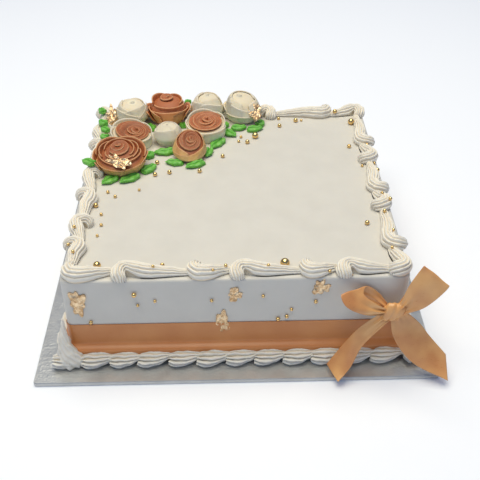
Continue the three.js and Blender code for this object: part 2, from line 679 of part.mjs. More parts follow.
function geometryOf(shape) {
  const mesh = shape.getMesh();
  const geometry = new THREE.BufferGeometry();
  geometry.setAttribute("position", new THREE.BufferAttribute(mesh.vertProperties, 3));
  geometry.setIndex(new THREE.BufferAttribute(mesh.triVerts, 1));
  return geometry;
}

const group = new THREE.Group();

function place(name, shape, look) {
  const mesh = new THREE.Mesh(geometryOf(shape), new THREE.MeshStandardMaterial(LOOKS[look]));
  mesh.name = name;
  group.add(mesh);
}

place("board", slab(BOARD.side, BOARD.corner, BOARD.edge, 1, 0, TABLE), "foil");
const borders = Object.fromEntries(Object.keys(TURN).map((side) => [side, topBorder(side)]));
place("cake", cakeSolid(seatPearls(borders)), "icing");
place("ribbon_band", band(), "satin");
place("bow", bowSolid(), "satin");
for (const side of Object.keys(TURN)) {
  place(`border_top_${side}`, borders[side], "icing");
  const foot = footBorder(side);
  place(`border_foot_${side}`, side === "front" ? foot.add(cornerPeak()) : foot, "icing");
}
for (const rose of ROSES) place(rose.name, roseSolid(rose), rose.colour);
LEAVES.forEach((leaf, i) => {
  place(`leaf_${String(i + 1).padStart(2, "0")}`, leafSolid(leaf, i), "leaf");
});

export default group;
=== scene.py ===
"""The looks of a square decorated cake on its foil board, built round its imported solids.

Shapes are worked out in millimetres and become metres when a mesh is made. +Z is up and the front
faces -Y, with the origin at the centre of the board's underside.
"""
import math
from collections import namedtuple

import bpy
import numpy as np
from mathutils import Matrix, Vector
from mathutils.bvhtree import BVHTree


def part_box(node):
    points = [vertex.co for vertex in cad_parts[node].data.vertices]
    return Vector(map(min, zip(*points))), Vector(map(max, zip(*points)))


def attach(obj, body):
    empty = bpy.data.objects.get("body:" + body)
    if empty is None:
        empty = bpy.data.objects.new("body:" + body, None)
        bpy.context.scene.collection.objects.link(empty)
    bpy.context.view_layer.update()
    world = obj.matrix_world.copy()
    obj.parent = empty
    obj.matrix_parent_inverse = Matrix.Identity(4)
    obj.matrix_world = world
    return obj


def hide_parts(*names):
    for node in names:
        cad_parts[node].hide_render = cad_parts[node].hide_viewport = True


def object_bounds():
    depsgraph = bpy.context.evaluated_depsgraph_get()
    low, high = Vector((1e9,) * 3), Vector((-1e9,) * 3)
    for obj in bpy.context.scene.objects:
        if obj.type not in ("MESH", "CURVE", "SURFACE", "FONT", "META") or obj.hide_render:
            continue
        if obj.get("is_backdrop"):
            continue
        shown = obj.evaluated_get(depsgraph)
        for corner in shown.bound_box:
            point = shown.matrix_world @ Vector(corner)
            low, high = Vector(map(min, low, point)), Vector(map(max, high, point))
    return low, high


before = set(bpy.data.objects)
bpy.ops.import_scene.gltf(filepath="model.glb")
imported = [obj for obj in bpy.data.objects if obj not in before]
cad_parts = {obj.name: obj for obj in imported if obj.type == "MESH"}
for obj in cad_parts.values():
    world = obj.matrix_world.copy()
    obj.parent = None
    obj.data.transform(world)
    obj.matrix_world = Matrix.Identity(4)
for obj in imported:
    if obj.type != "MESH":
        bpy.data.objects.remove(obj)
cad_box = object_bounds()

# Driving sizes, in millimetres
MM = 0.001
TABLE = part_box("board")[1].z / MM
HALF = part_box("cake")[1].y / MM
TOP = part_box("border_top_front")[0].z / MM
SIDES = {"front": 0, "right": 90, "back": 180, "left": 270}

# Shells of the top border: eye line, curl and tube of a head, its grooves, and how a tail swings and thins
SHELL = {
    "line": 8.2, "shift": 2.6, "curl": 6, "tube": 7.2, "tall": 11.6, "eye": 6, "forward": 7, "overlap": 5,
    "ridges": 7, "full": 0.7, "groove": 0.15, "end_groove": 0.22, "risen_by": 0.62, "turns_from": 0.22,
}
INWARD, OUTWARD = 1, -1
TAIL = {"swing": {INWARD: 3.2, OUTWARD: 6}, "sweep": {INWARD: 2.4, OUTWARD: 1.1}, "tube": 3.2, "tall": 4.4}
# Which way the first head curls, where each head starts along its side, and where the last tail ends
TOP_RUNS = {
    "front": (OUTWARD, [-147, -105, -42, -6, 52, 84], 136),
    "right": (OUTWARD, [-150, -115, -55, -26, 30, 64], 132),
    "back": (OUTWARD, [-151, -114, -52, -22, 33, 65], 132),
    "left": (INWARD, [-151, -112, -82, -26, 14, 58, 92], 132),
}

# Shells of the foot border. Each pair goes from a shell's head to the end of its tail.
FOOT = {
    "pitch": 25.7, "long": 29.5, "corner": 11.5, "start": 1.2, "ridges": 11, "tooth": 5, "tail": 0.36,
    "half_wide": 8.6, "half_tall": 8.2, "high": (5.6, 8.2), "away": (8.6, 5.6), "groove": (0.42, 0.28),
    "head": 0.2, "steep": (38, 90), "twist": 0.35,
}
FOOT_WIDER = {"front": 1, "right": 1.05, "back": 1, "left": 0.95}
# Icing smeared up to a point at the front left corner: x, y, z, half its width and half its depth
CORNER_PEAK = [
    (-147.5, -157.5, 6, 12.5, 6.5), (-146.5, -157, 14, 12, 6.2), (-148.5, -156, 21, 9, 5.4),
    (-150.5, -153.8, 32, 5.2, 4), (-150.5, -151.2, 44, 2.6, 2), (-150, -150.3, 54, 0.8, 0.8),
]
PEAK = {"ridges": 9, "groove": 0.2}

# Roses. Radii and heights are shares of a rose's size, which is in millimetres. Its middle leans to its eye.
# The mound is what the petals are piped on: an outline, or else a dome, which is boxier with a lower power.
# An open petal has a turn, a span in degrees, the radius and height of its rim, and how far that rolls out.
# A closed one hugs its dome: turn, span, stand-off, how many degrees up its rim lies, and its slant.
# The whorl has its first angle, turns, radius and height, how far a turn stands over the next, and its dish.
# Petals: how thick their foot and edge are, and how their sides drop, flare, tuck in and wave
PETAL = {"thick": 2.2, "edge": 0.9, "drop": 0.2, "flare": 0.6, "tuck": 0.03, "wave": 0.02}
DOME = {"boxy": 0.5, "stand": 0.955, "foot": 0.7}
# Petals with a rim this far out are outer ones. Inner ones start inside their rim and this far under it.
OUTER_RIM = 0.9
INNER_PETAL = {"foot": 0.86, "tall": 0.4, "mark": 0.2}
# The share of the whorl's height up to which its mound is coloured like the outsides of petals
OUTSIDE_UP_TO = {"open": 0.5, "closed": 0.75}
CUP = [(0.7, 0), (0.88, 0.2), (0.94, 0.56), (0.86, 0.7), (0.7, 0.8), (0.5, 0.89), (0.36, 0.98), (0.05, 0.96)]
CONE = [(0.5, 0), (0.68, 0.2), (0.84, 0.56), (0.8, 0.7), (0.64, 0.82), (0.42, 0.93), (0.05, 0.9)]
DRUM = [(0.84, 0), (0.92, 0.3), (0.95, 0.7), (0.88, 0.84), (0.84, 0.8), (0.05, 0.8)]
BULB = [(0.5, 0), (0.76, 0.15), (0.88, 0.4), (0.86, 0.62), (0.76, 0.8), (0.05, 0.86)]
BULB_PETALS = [
    (10, 140, 1.05, 56, 6), (110, 130, 1.02, 58, 6), (195, 140, 1.03, 60, 6), (285, 150, 1.06, 54, 6),
]
DRUM_PETALS = [
    (20, 120, 0.98, 0.92, 0.02), (110, 125, 0.98, 0.96, 0.02), (205, 120, 0.98, 0.94, 0.03),
    (295, 125, 0.98, 0.9, 0.02),
]
ROSES = {
    "rose_1_white_open": {
        "at": (-109, 129), "size": (16.6, 24.5), "eye": (1, 2), "slope": (0, 0.05),
        "colour": "white", "boxy": 0.3,
        "closed": [(322, 120, 1.1, 42, 22), (240, 150, 1.06, 48, -6), (150, 150, 0.99, 62, 8),
                   (40, 160, 0.99, 66, -8), (290, 130, 1.02, 66, 12), (215, 130, 1.0, 74, -12)],
        "whorl": (200, 1.4, 0.22, 0.94, 0.02, 0.0),
    },
    "rose_2_copper_open": {
        "at": (-69.3, 131), "size": (22.8, 28), "eye": (1.5, 3), "slope": (0, 0),
        "colour": "copper", "mound": CONE,
        "open": [(176, 70, 1.06, 0.68, 0.06), (4, 70, 1.06, 0.68, 0.06), (206, 90, 0.94, 0.7, 0.04),
                 (334, 90, 0.94, 0.7, 0.04), (268, 140, 0.92, 0.74, 0.02), (90, 120, 0.9, 0.78, 0.06),
                 (280, 170, 0.76, 0.88, 0.02), (152, 92, 0.76, 1.0, 0.04), (30, 120, 0.66, 0.96, 0.04)],
        "whorl": (60, 1.6, 0.44, 1.06, 0.1, 0.04),
    },
    "rose_3_white_dome": {
        "at": (-26, 139), "size": (18.4, 27), "eye": (1, 2), "slope": (0, 0),
        "colour": "white", "boxy": 0.6,
        "closed": [(215, 150, 1.03, 50, 14), (315, 140, 1.05, 46, -12), (90, 180, 0.975, 76, 0),
                   (265, 130, 1.02, 66, 16), (180, 110, 1.0, 74, -14)],
        "whorl": (20, 1.2, 0.2, 0.94, 0.02, 0.0),
    },
    "rose_4_white_open": {
        "at": (13.5, 135), "size": (20.3, 27), "eye": (-4, 4), "slope": (-0.06, 0.06),
        "colour": "white",
        "open": [(255, 150, 1.0, 0.46, 0.05), (332, 84, 1.02, 0.6, 0.06), (170, 70, 1.0, 0.62, 0.06)],
        "closed": [(110, 170, 0.99, 76, 12), (60, 120, 0.985, 66, -10), (165, 110, 0.985, 62, 12),
                   (240, 190, 0.98, 50, -6), (20, 170, 0.99, 60, -8), (180, 180, 0.97, 72, 6)],
        "whorl": (120, 1.4, 0.22, 0.94, 0.02, 0.0),
    },
    "rose_5_copper_white": {
        "at": (-105.5, 81), "size": (21.6, 17.5), "eye": (6, 2.5), "slope": (-0.13, 0.16),
        "colour": "shade-painted copper", "white_outside": True, "mound": DRUM, "open": DRUM_PETALS,
        "whorl": (0, 5.4, 0.9, 0.99, 0.16, 0.1),
    },
    "rose_6_white_bud": {
        "at": (-67, 84.5), "size": (16.2, 21.5), "eye": (0, 0), "slope": (0, 0),
        "colour": "white", "boxy": 0.68,
        "closed": [(200, 220, 1.0, 48, 22), (300, 220, 0.97, 60, 20), (60, 220, 0.96, 66, 16),
                   (180, 240, 0.97, 80, 8)],
        "whorl": (40, 1.2, 0.18, 0.94, 0.02, 0.0),
    },
    "rose_7_copper_white": {
        "at": (-27.5, 97), "size": (21.5, 18.5), "eye": (2.3, 4), "slope": (-0.02, 0.2),
        "colour": "copper", "white_outside": True, "mound": DRUM, "open": DRUM_PETALS,
        "whorl": (30, 5.4, 0.9, 1.0, 0.16, 0.09),
    },
    "rose_8_copper_small": {
        "at": (-44, 54), "size": (17, 19), "eye": (3, 2.5), "slope": (-0.03, 0.5),
        "colour": "shade-painted copper", "mound": BULB, "closed": BULB_PETALS,
        "whorl": (75, 4.8, 0.72, 1.02, 0.17, 0.07),
    },
    "rose_9_copper_large": {
        "at": (-112.5, 33.5), "size": (25.8, 20), "eye": (-2, 8), "slope": (-0.03, 0.2),
        "colour": "shade-painted copper", "mound": CUP,
        "open": [(238, 96, 0.99, 0.8, 0.06), (302, 92, 1.0, 0.8, 0.06), (186, 74, 1.05, 0.92, 0.05),
                 (135, 92, 0.95, 1.02, 0.08), (52, 112, 0.97, 1.0, 0.14), (352, 60, 1.02, 0.86, 0.08),
                 (165, 84, 0.78, 1.0, 0.02), (222, 120, 0.82, 0.9, 0.01), (318, 120, 0.78, 0.94, 0.01),
                 (20, 110, 0.72, 0.98, 0.02), (262, 140, 0.62, 0.98, 0.01), (72, 215, 0.58, 1.04, 0.02)],
        "whorl": (215, 2.6, 0.44, 1.12, 0.13, 0.05),
    },
}

# Leaves: where each starts, its heading, length and width, and how far it is raised
ON_BORDER = 12
LEAF_SHAPE = {"wider": 1.4, "longer": 1.06, "tall": 4.2, "thin": 0.5, "ruffle": 9, "bend": 0.14}
LEAVES = [
    (-137, 17.5, 138, 15, 9, ON_BORDER), (-114.5, 14, -139, 19, 11, 0), (-94, 17, -136, 22, 11, 0),
    (-90.5, 20, 49, 19, 11, 0), (-88.5, 48, 66, 13, 10, 0), (-60, 62, -166, 21, 11, 0),
    (-49.8, 37.4, 171, 18, 10, 0), (-28.5, 39.5, -146, 21, 10, 0), (-23, 65, -104, 16, 9, 0),
    (-8.5, 85.5, -128, 23, 11, 0), (-6.5, 103, -56, 16, 10, 0), (-0.5, 109, 0, 17, 10, 0),
    (-8.5, 110, 84, 12, 9, 0), (17, 105.5, 0, 17, 10.5, 0), (28.5, 113.5, 50, 12, 9, 0),
    (-47, 145.5, 110, 7, 7, ON_BORDER), (-51.5, 112.5, 105, 8, 8, 0), (-85.5, 106, 112, 15, 10, 0),
    (-139.5, 126, 116, 10, 8, ON_BORDER), (-133.5, 98, 137, 13, 9, ON_BORDER),
    (-130, 84, 135, 11, 8, ON_BORDER), (-129, 70.5, 155, 9, 8, ON_BORDER),
    (-49.3, 84, 100, 12, 9, 0),
]

# Gold pearls: (x, y, width) on the top, and (x, z, width) on the front. The middle of one stands this share
# of its width above what it is pressed into.
PEARL_STANDS = {"top": 0.42, "front": 0.38}
PEARLS_ON_TOP = [
    (-117.8, -129.2, 6.8), (-69, -141, 2.8), (-62.3, -129, 4), (-18.8, -145, 2.6), (-8.1, -137.3, 3),
    (27.7, -141, 2.8), (42.4, -131.3, 8.4), (79.3, -144, 2.8), (97.6, -145.5, 2.8),
    (-130, -37.1, 4.7), (-123.5, -51, 3.2), (-121.5, -68, 3.2), (-123.2, -84.3, 2.8), (-143, -82.4, 3.2),
    (-139, -118.3, 3.2), (-121.3, -13.6, 3.4), (-113.5, -21.5, 3.4), (-144.9, -27, 2.8), (-145.5, -104.7, 3),
    (-91.3, -10.4, 2.9), (-77.5, 16.3, 4.5), (-76.8, 39.2, 4.6), (-63.3, 20.2, 4.5), (-33.1, 21.7, 4.5),
    (-9.7, 50.3, 4.2), (7.5, 80.9, 3.2), (10.1, 90.2, 3.2), (16.7, 78.2, 4.8), (25.4, 89.7, 7),
    (53, 130, 3.4), (53, 113.1, 4.4), (71.6, 124.2, 5), (78, 125.4, 2.8), (116.2, 134.8, 5),
    (132.2, 117.1, 7.2),
    (123.4, 66, 4.4), (141.5, 62.5, 4.2), (131.7, 27.5, 3), (145, 32.1, 2.8), (145.6, 17.9, 4.5),
    (140.4, -37.1, 3.4), (146.5, -46.4, 3.8), (138.9, -62.1, 3.7), (121.7, -72.6, 4.6), (140.9, -94.9, 3.2),
    (136, -117.4, 2.8),
]
PEARLS_IN_FRONT = [
    (-86.2, 79, 4.4), (-84, 66.8, 2.8), (-69, 71.2, 2.8), (-126, 48.4, 3.6), (-20.6, 70.8, 3),
    (23.3, 74.7, 3), (47.9, 59, 3), (44, 51.2, 3.4), (36.5, 48.4, 3.8), (68.5, 67.5, 3.4),
]
# Flakes of gold leaf: the nodes they are pressed on, their middle, how far they reach across and upwards,
# and how deep they are crumpled
FLAKES = [
    ("cake", (-134.8, -HALF, 70.3), (7.2, 0, 0), (0, 0, 13), 1.4),
    ("cake", (-0.9, -HALF, 76.5), (6.5, 0, 0), (0, 0, 6.7), 1.4),
    ("cake", (-11.6, -HALF, 46.7), (5.4, 0, 0), (0, 0, 12), 1.4),
    ("cake", (72, -HALF, 82.5), (7, 0, 0), (0, 0, 7.5), 1.4),
    ("rose_1_white_open", (-130.5, 121, TOP + 11), (6.5, 0, 1), (0, 8, 6.5), 3),
    ("rose_4_white_open", (26.5, 121, TOP + 14), (7, 2, -1), (0, 8, 6.5), 2.4),
    ("rose_9_copper_large", (-112, 17, TOP + 16), (11.5, -5, 0), (-3, 9, 2.5), 2),
]

# The cake's rounded edges, and the ribbon band and bow
CAKE = {"corner": 6, "bevel": 2.5, "least_corner": 1.5}
RIBBON_THICK = 0.35
BAND = {"low": 7.2, "high": 45.2, "away": 0.45, "bend": (24, 18.5), "flare": 6}
KNOT = {"place": (135, -161, 65.5), "size": (23, 11, 18)}
# Points along the two edges of each strip of the bow
BOW = {
    "left_loop": (
        [(128, -157, 71), (121, -152.5, 79), (110, -152.5, 86.5),
         (107, -159, 83), (117, -163, 76), (128, -162, 69)],
        [(127, -157, 62), (108, -154.5, 70), (87, -164, 87.5),
         (90, -171, 81.5), (107, -169.5, 69.5), (128, -163, 63)],
    ),
    "right_loop": (
        [(138, -157, 72), (149, -153, 92), (154, -158, 112), (143.5, -162, 95), (137, -163, 73)],
        [(141, -157, 64), (157, -155, 79), (175, -166, 96.5), (158, -168.5, 76.5), (141, -165, 65)],
    ),
    "left_tail": (
        [(130, -160, 67), (108, -162, 51), (94, -164, 33), (79, -168, 11)],
        [(131, -163, 57), (108, -170, 33), (98, -179, 17), (87, -187, 8)],
    ),
    "right_tail": (
        [(131, -161, 64), (135, -167, 41), (152, -176, 19), (182, -188, 8)],
        [(140, -160, 68), (157, -161, 52), (167, -163, 38.5), (183, -168, 20)],
    ),
}

# The room, in metres and watts
SOFTBOX = {"size": (1.9, 1.5), "energy": 43, "color": (1, 0.928, 0.742), "place": (-0.15, 0.08, 1.9)}
FILL = {"size": (2.6, 0.9), "energy": 3, "color": (0.62, 0.8, 1), "place": (-0.4, -2.2, 0.75)}
WALLS = {"color": (0.45, 0.62, 1.0, 1), "strength": 0.36}
FLOOR = 4
# The camera, in millimetres and degrees
CAMERA = {"place": (-5.97, -664.75, 520.76), "yaw": 1.089, "pitch": 36.807, "roll": -0.364, "lens": 59.99}


# Meshes

class Form:
    """Closed skins gathered into one mesh, each point with marks that the materials read."""

    def __init__(self):
        self.points = []
        self.faces = []
        self.marks = {}
        self.count = 0

    def add(self, points, quads, triangles=(), **marks):
        points = np.asarray(points, float).reshape(-1, 3)
        quads = np.asarray(quads, int).reshape(-1, 4)
        triangles = np.asarray(triangles, int).reshape(-1, 3)
        if facing(points, quads, triangles) < 0:
            quads, triangles = quads[:, ::-1], triangles[:, ::-1]
        self.points.append(points)
        self.faces += (quads + self.count).tolist() + (triangles + self.count).tolist()
        for name, values in marks.items():
            held = self.marks.get(name, [])
            held = np.concatenate([held, np.zeros(self.count - len(held))])
            values = np.broadcast_to(np.asarray(values, float), (len(points),))
            self.marks[name] = np.concatenate([held, values])
        self.count += len(points)

    def all_points(self):
        return np.concatenate(self.points)


def facing(points, quads, triangles):
    """Six times the signed volume inside the faces."""
    total = 0
    for corners in (triangles, quads[:, :3], quads[:, [0, 2, 3]]):
        a, b, c = (points[corners[:, k]] for k in range(3))
        total += np.einsum("ij,ij->", a, np.cross(b, c))
    return total


def ring_quads(rows, columns):
    """Quads between rings that each close on themselves."""
    i, j = np.meshgrid(np.arange(rows - 1), np.arange(columns), indexing="ij")
    k = (j + 1) % columns
    quads = np.stack([i * columns + j, i * columns + k, (i + 1) * columns + k, (i + 1) * columns + j], -1)
    return quads.reshape(-1, 4)


def add_tube(form, rings, **marks):
    """A skin through closed rings, with a fan over each end."""
    rings = np.asarray(rings, float)
    rows, columns = rings.shape[:2]
    points = np.concatenate([rings.reshape(-1, 3), rings[0].mean(0)[None], rings[-1].mean(0)[None]])
    j = np.arange(columns)
    k = (j + 1) % columns
    first = np.stack([np.full(columns, rows * columns), k, j], -1)
    start = (rows - 1) * columns
    last = np.stack([np.full(columns, rows * columns + 1), start + j, start + k], -1)
    spread = {name: np.concatenate([np.ravel(value), [0, 0]]) for name, value in marks.items()}
    form.add(points, ring_quads(rows, columns), np.concatenate([first, last]), **spread)


def add_sheet(form, front, back, **marks):
    """A thin closed sheet between two grids of points."""
    rows, columns = front.shape[:2]
    rings = np.concatenate([front, back[:, ::-1]], axis=1)
    j = np.arange(columns - 1)
    other = 2 * columns - 1 - j
    first = np.stack([j, other, other - 1, j + 1], -1)
    last = np.stack([j + 1, other - 1, other, j], -1) + (rows - 1) * 2 * columns
    spread = {}
    for name, (on_front, on_back) in marks.items():
        on_front, on_back = (np.broadcast_to(mark, (rows, columns)) for mark in (on_front, on_back))
        spread[name] = np.concatenate([on_front, on_back[:, ::-1]], axis=1).ravel()
    form.add(rings, np.concatenate([ring_quads(rows, 2 * columns), first, last]), **spread)


def add_object(name, data):
    made = bpy.data.objects.new(name, data)
    bpy.context.scene.collection.objects.link(made)
    return made


def make_piece(form, name, material, slot, *nodes):
    """Turns a form into an object that stands for nodes of the frame."""
    mesh = bpy.data.meshes.new(name)
    mesh.from_pydata((form.all_points() * MM).tolist(), [], form.faces)
    for mark, values in form.marks.items():
        held = np.concatenate([values, np.zeros(form.count - len(values))])
        mesh.attributes.new(mark, "FLOAT", "POINT").data.foreach_set("value", held.astype(np.float32))
    mesh.polygons.foreach_set("use_smooth", np.ones(len(mesh.polygons), bool))
    mesh.materials.append(material)
    made = add_object(name, mesh)
    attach(made, "root")
    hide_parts(*nodes)
    return made


# Numbers

def all_round(columns):
    """Angles all round, evenly apart."""
    return np.linspace(0, 2 * np.pi, columns, endpoint=False)


def sheet_grid(rows, columns):
    """Shares along a sheet, from 0 to 1, and across it, from -1 to 1."""
    return np.meshgrid(np.linspace(0, 1, rows), np.linspace(-1, 1, columns), indexing="ij")


def ripple(points, size, seed):
    """Smooth uneven values, mostly between -1 and 1, with hills about as far apart as size."""
    waves = 7
    random = np.random.default_rng(seed)
    directions = random.normal(size=(waves, 3))
    directions /= np.linalg.norm(directions, axis=1)[:, None]
    pitches = 2 * np.pi / size * random.uniform(0.6, 1.5, waves)
    shifts = random.uniform(0, 2 * np.pi, waves)
    return np.sin(points @ (directions * pitches[:, None]).T + shifts).sum(-1) / math.sqrt(waves)


def smooth(t):
    t = np.clip(t, 0, 1)
    return t * t * (3 - 2 * t)


def lerp(a, b, t):
    return a + (b - a) * t


def turned(points, degrees):
    """Points turned about the upright axis."""
    c, s = math.cos(math.radians(degrees)), math.sin(math.radians(degrees))
    x, y, z = np.moveaxis(points, -1, 0)
    return np.stack([c * x - s * y, s * x + c * y, z], -1)


def star(angle, ridges, depth):
    """Radius share round a section piped through a star tip: round crests and sharp grooves."""
    return 1 - depth + depth * np.abs(np.sin(ridges * angle))


def curve_through(points, steps):
    """Points along a centripetal Catmull-Rom curve."""
    p = np.asarray(points, float)
    p = np.vstack([2 * p[0] - p[1], p, 2 * p[-1] - p[-2]])
    found = []
    for t in np.linspace(0, len(points) - 1, steps):
        i = min(int(t), len(points) - 2)
        f = t - i
        a, b, c, d = p[i : i + 4]
        ab, bc, cd = (max(np.linalg.norm(w - v) ** 0.5, 1e-4) for v, w in ((a, b), (b, c), (c, d)))
        m1 = ((b - a) / ab - (c - a) / (ab + bc) + (c - b) / bc) * bc
        m2 = ((c - b) / bc - (d - b) / (bc + cd) + (d - c) / cd) * bc
        found.append((2 * f**3 - 3 * f**2 + 1) * b + (f**3 - 2 * f**2 + f) * m1
                     + (3 * f**2 - 2 * f**3) * c + (f**3 - f**2) * m2)
    return np.array(found)


# Materials

class Paint:
    """A node material with a principled shader, whose fixed values are given by name when it is made."""

    def __init__(self, name, **sockets):
        self.material = bpy.data.materials.new(name)
        self.material.use_nodes = True
        self.tree = self.material.node_tree
        self.shader = self.tree.nodes["Principled BSDF"]
        for socket, value in sockets.items():
            self.shader.inputs[socket.replace("_", " ")].default_value = value
        self.place = self.node("ShaderNodeTexCoord").outputs["Object"]

    def node(self, kind, inputs=(), **settings):
        made = self.tree.nodes.new(kind)
        for name, value in settings.items():
            setattr(made, name, value)
        for name, value in dict(inputs).items():
            if isinstance(value, bpy.types.NodeSocket):
                self.tree.links.new(value, made.inputs[name])
            else:
                made.inputs[name].default_value = value
        return made

    def noise(self, size, detail, stretch=(1, 1, 1)):
        """Noise with features about size millimetres apart."""
        scale = tuple(1 / (size * MM * s) for s in stretch)
        at = self.node("ShaderNodeMapping", {"Vector": self.place, "Scale": scale})
        inputs = {"Vector": at.outputs[0], "Scale": 1, "Detail": detail}
        return self.node("ShaderNodeTexNoise", inputs).outputs["Fac"]

    def mark(self, name):
        return self.node("ShaderNodeAttribute", attribute_name=name).outputs["Fac"]

    def math(self, operation, *values):
        return self.node("ShaderNodeMath", dict(enumerate(values)), operation=operation).outputs[0]

    def between(self, value, low, high):
        """A value that goes from 0 at low to 1 at high."""
        inputs = {"Value": value, "From Min": low, "From Max": high}
        return self.node("ShaderNodeMapRange", inputs).outputs[0]

    def mix(self, share, one, two):
        made = self.node("ShaderNodeMix", data_type="RGBA")
        for socket, value in ((made.inputs[0], share), (made.inputs[6], one), (made.inputs[7], two)):
            if isinstance(value, bpy.types.NodeSocket):
                self.tree.links.new(value, socket)
            else:
                socket.default_value = value if isinstance(value, (int, float)) else (*value, 1)
        return made.outputs[2]

    def feed(self, socket, value):
        self.tree.links.new(value, self.shader.inputs[socket])

    def bump(self, *layers):
        """Relief from (height, depth in millimetres, strength) layers."""
        normal = None
        for height, depth, strength in layers:
            inputs = {"Height": height, "Distance": depth * MM, "Strength": strength}
            if normal is not None:
                inputs["Normal"] = normal
            normal = self.node("ShaderNodeBump", inputs).outputs[0]
        self.feed("Normal", normal)


def icing(name, crest, groove, fine=0.12):
    """Buttercream: soft sheen, fine air bubbles, and painted shade in its grooves, which turn darker and
    yellower.
    """
    paint = Paint(name, Roughness=0.52, Subsurface_Weight=0.08, Subsurface_Scale=0.0015,
                  Subsurface_Radius=(1, 0.75, 0.5), Specular_IOR_Level=0.4)
    uneven = paint.between(paint.noise(22, 3), 0.35, 0.7)
    near = paint.mix(uneven, crest, tuple(0.955 * c for c in crest))
    # Painted shade: the groove mark mixes the icing towards the darker, yellower groove colour in the
    # hollows between ridges
    paint.feed("Base Color", paint.mix(paint.mark("groove"), near, groove))
    paint.feed("Roughness", paint.math("MULTIPLY_ADD", paint.noise(9, 4), 0.22, 0.42))
    paint.bump((paint.noise(14, 2), 0.5, 0.25), (paint.noise(0.9, 3), 0.1, fine))
    return paint.material


def petals_paint(name, inside, outside, rim, low, streak, painted_light_fade=(0.1, 0.95)):
    """Rose icing. Painted light: a petal's outside is lightened towards its low colour near its foot, fading
    out over a share of its height, so that sides lying in shade look lit. Painted highlight: the top edge of
    every petal is mixed towards its rim colour.
    """
    paint = Paint(name, Roughness=0.5, Subsurface_Weight=0.4, Subsurface_Scale=0.004,
                  Subsurface_Radius=(1, 0.8, 0.6), Specular_IOR_Level=0.35)
    face = paint.mix(paint.mark("outer"), inside, outside)
    streaks = paint.between(paint.noise(8, 4, stretch=(1, 1, 2.5)), 0.5, 0.75)
    face = paint.mix(paint.math("MULTIPLY", streaks, 0.55), face, streak)
    # Painted light on the lower outsides, which lie in shade
    under = paint.math("SUBTRACT", 1, paint.between(paint.mark("rise"), *painted_light_fade))
    under = paint.math("MULTIPLY", under, paint.mark("outer"))
    face = paint.mix(paint.math("MULTIPLY", under, 0.9), face, low)
    # Painted highlight along the top edge of every petal
    edge = paint.between(paint.mark("rise"), 0.9, 1)
    paint.feed("Base Color", paint.mix(paint.math("MULTIPLY", edge, 0.8), face, rim))
    paint.feed("Roughness", paint.math("MULTIPLY_ADD", paint.noise(4, 4), 0.25, 0.38))
    paint.bump((paint.noise(4, 3), 0.35, 0.35), (paint.noise(0.7, 3), 0.08, 0.15))
    return paint.material


def leaf_paint():
    """Green icing, with painted shade: darker green in the creases."""
    paint = Paint("green_icing", Roughness=0.45, Subsurface_Weight=0.4, Subsurface_Scale=0.003,
                  Subsurface_Radius=(0.6, 1, 0.3))
    light, deep = (0.155, 0.46, 0.062), (0.06, 0.29, 0.024)
    shade = paint.mix(paint.between(paint.noise(8, 3), 0.35, 0.7), light, (0.11, 0.39, 0.045))
    # Painted shade: the groove mark darkens the green in the crease and the ruffle troughs
    paint.feed("Base Color", paint.mix(paint.mark("groove"), shade, deep))
    paint.bump((paint.noise(4, 3), 0.25, 0.3), (paint.noise(0.8, 3), 0.06, 0.12))
    return paint.material


def gold_paint():
    """Polished gold with faint spots."""
    paint = Paint("gold_pearl", Metallic=1.0, Roughness=0.16)
    spots = paint.between(paint.noise(1.2, 4), 0.4, 0.7)
    paint.feed("Base Color", paint.mix(spots, (0.86, 0.60, 0.26), (0.72, 0.46, 0.17)))
    paint.feed("Roughness", paint.math("MULTIPLY_ADD", spots, 0.14, 0.12))
    paint.bump((paint.noise(0.8, 3), 0.04, 0.2))
    return paint.material


def gold_leaf_paint():
    """Crumpled gold leaf, with painted shade: random patches darken it from a light gold towards a dark one.
    """
    paint = Paint("gold_leaf", Metallic=0.75, Roughness=0.3)
    spots = paint.between(paint.noise(3, 5), 0.35, 0.65)
    # Painted shade: random patches between a bright and a dark gold
    paint.feed("Base Color", paint.mix(spots, (0.92, 0.72, 0.47), (0.50, 0.30, 0.14)))
    paint.feed("Roughness", paint.math("MULTIPLY_ADD", paint.noise(2, 4), 0.3, 0.2))
    paint.bump((paint.noise(2.2, 4), 0.8, 0.8))
    return paint.material


def satin_paint(name, light, deep, shine):
    """Satin ribbon: long soft highlights, painted light and shade of folds in large random patches that go
    from the light to the deep colour, and a fine thread.
    """
    paint = Paint(name, Sheen_Weight=0.1, Sheen_Roughness=0.35, Sheen_Tint=(1, 0.78, 0.42, 1),
                  Anisotropic=0.5, Specular_IOR_Level=shine)
    thread = paint.noise(0.35, 1, stretch=(8, 8, 1))
    # Painted light and shade: large patches between the light and deep colours stand in for the lit and
    # shaded sides of folds
    painted_fold_shade = paint.between(paint.noise(26, 2), 0.35, 0.65)
    cloth_with_painted_folds = paint.mix(painted_fold_shade, light, deep)
    paint.feed("Base Color", paint.mix(paint.math("MULTIPLY", thread, 0.3), cloth_with_painted_folds, light))
    paint.feed("Roughness", paint.math("MULTIPLY_ADD", thread, 0.12, 0.24))
    paint.bump((thread, 0.03, 0.15))
    return paint.material


def foil_paint():
    """Silver foil embossed with small pebbles, over card."""
    paint = Paint("silver_foil", Metallic=0.6, Roughness=0.4)
    cells = paint.node("ShaderNodeTexVoronoi", {"Vector": paint.place, "Scale": 1 / (2.6 * MM)})
    tarnish = paint.between(paint.noise(18, 4), 0.35, 0.7)
    paint.feed("Base Color", paint.mix(tarnish, (0.56, 0.565, 0.555), (0.47, 0.475, 0.47)))
    paint.feed("Roughness", paint.math("MULTIPLY_ADD", paint.noise(5, 4), 0.2, 0.24))
    paint.bump((cells.outputs["Distance"], 0.35, 0.5), (paint.noise(30, 2), 0.8, 0.3))
    return paint.material
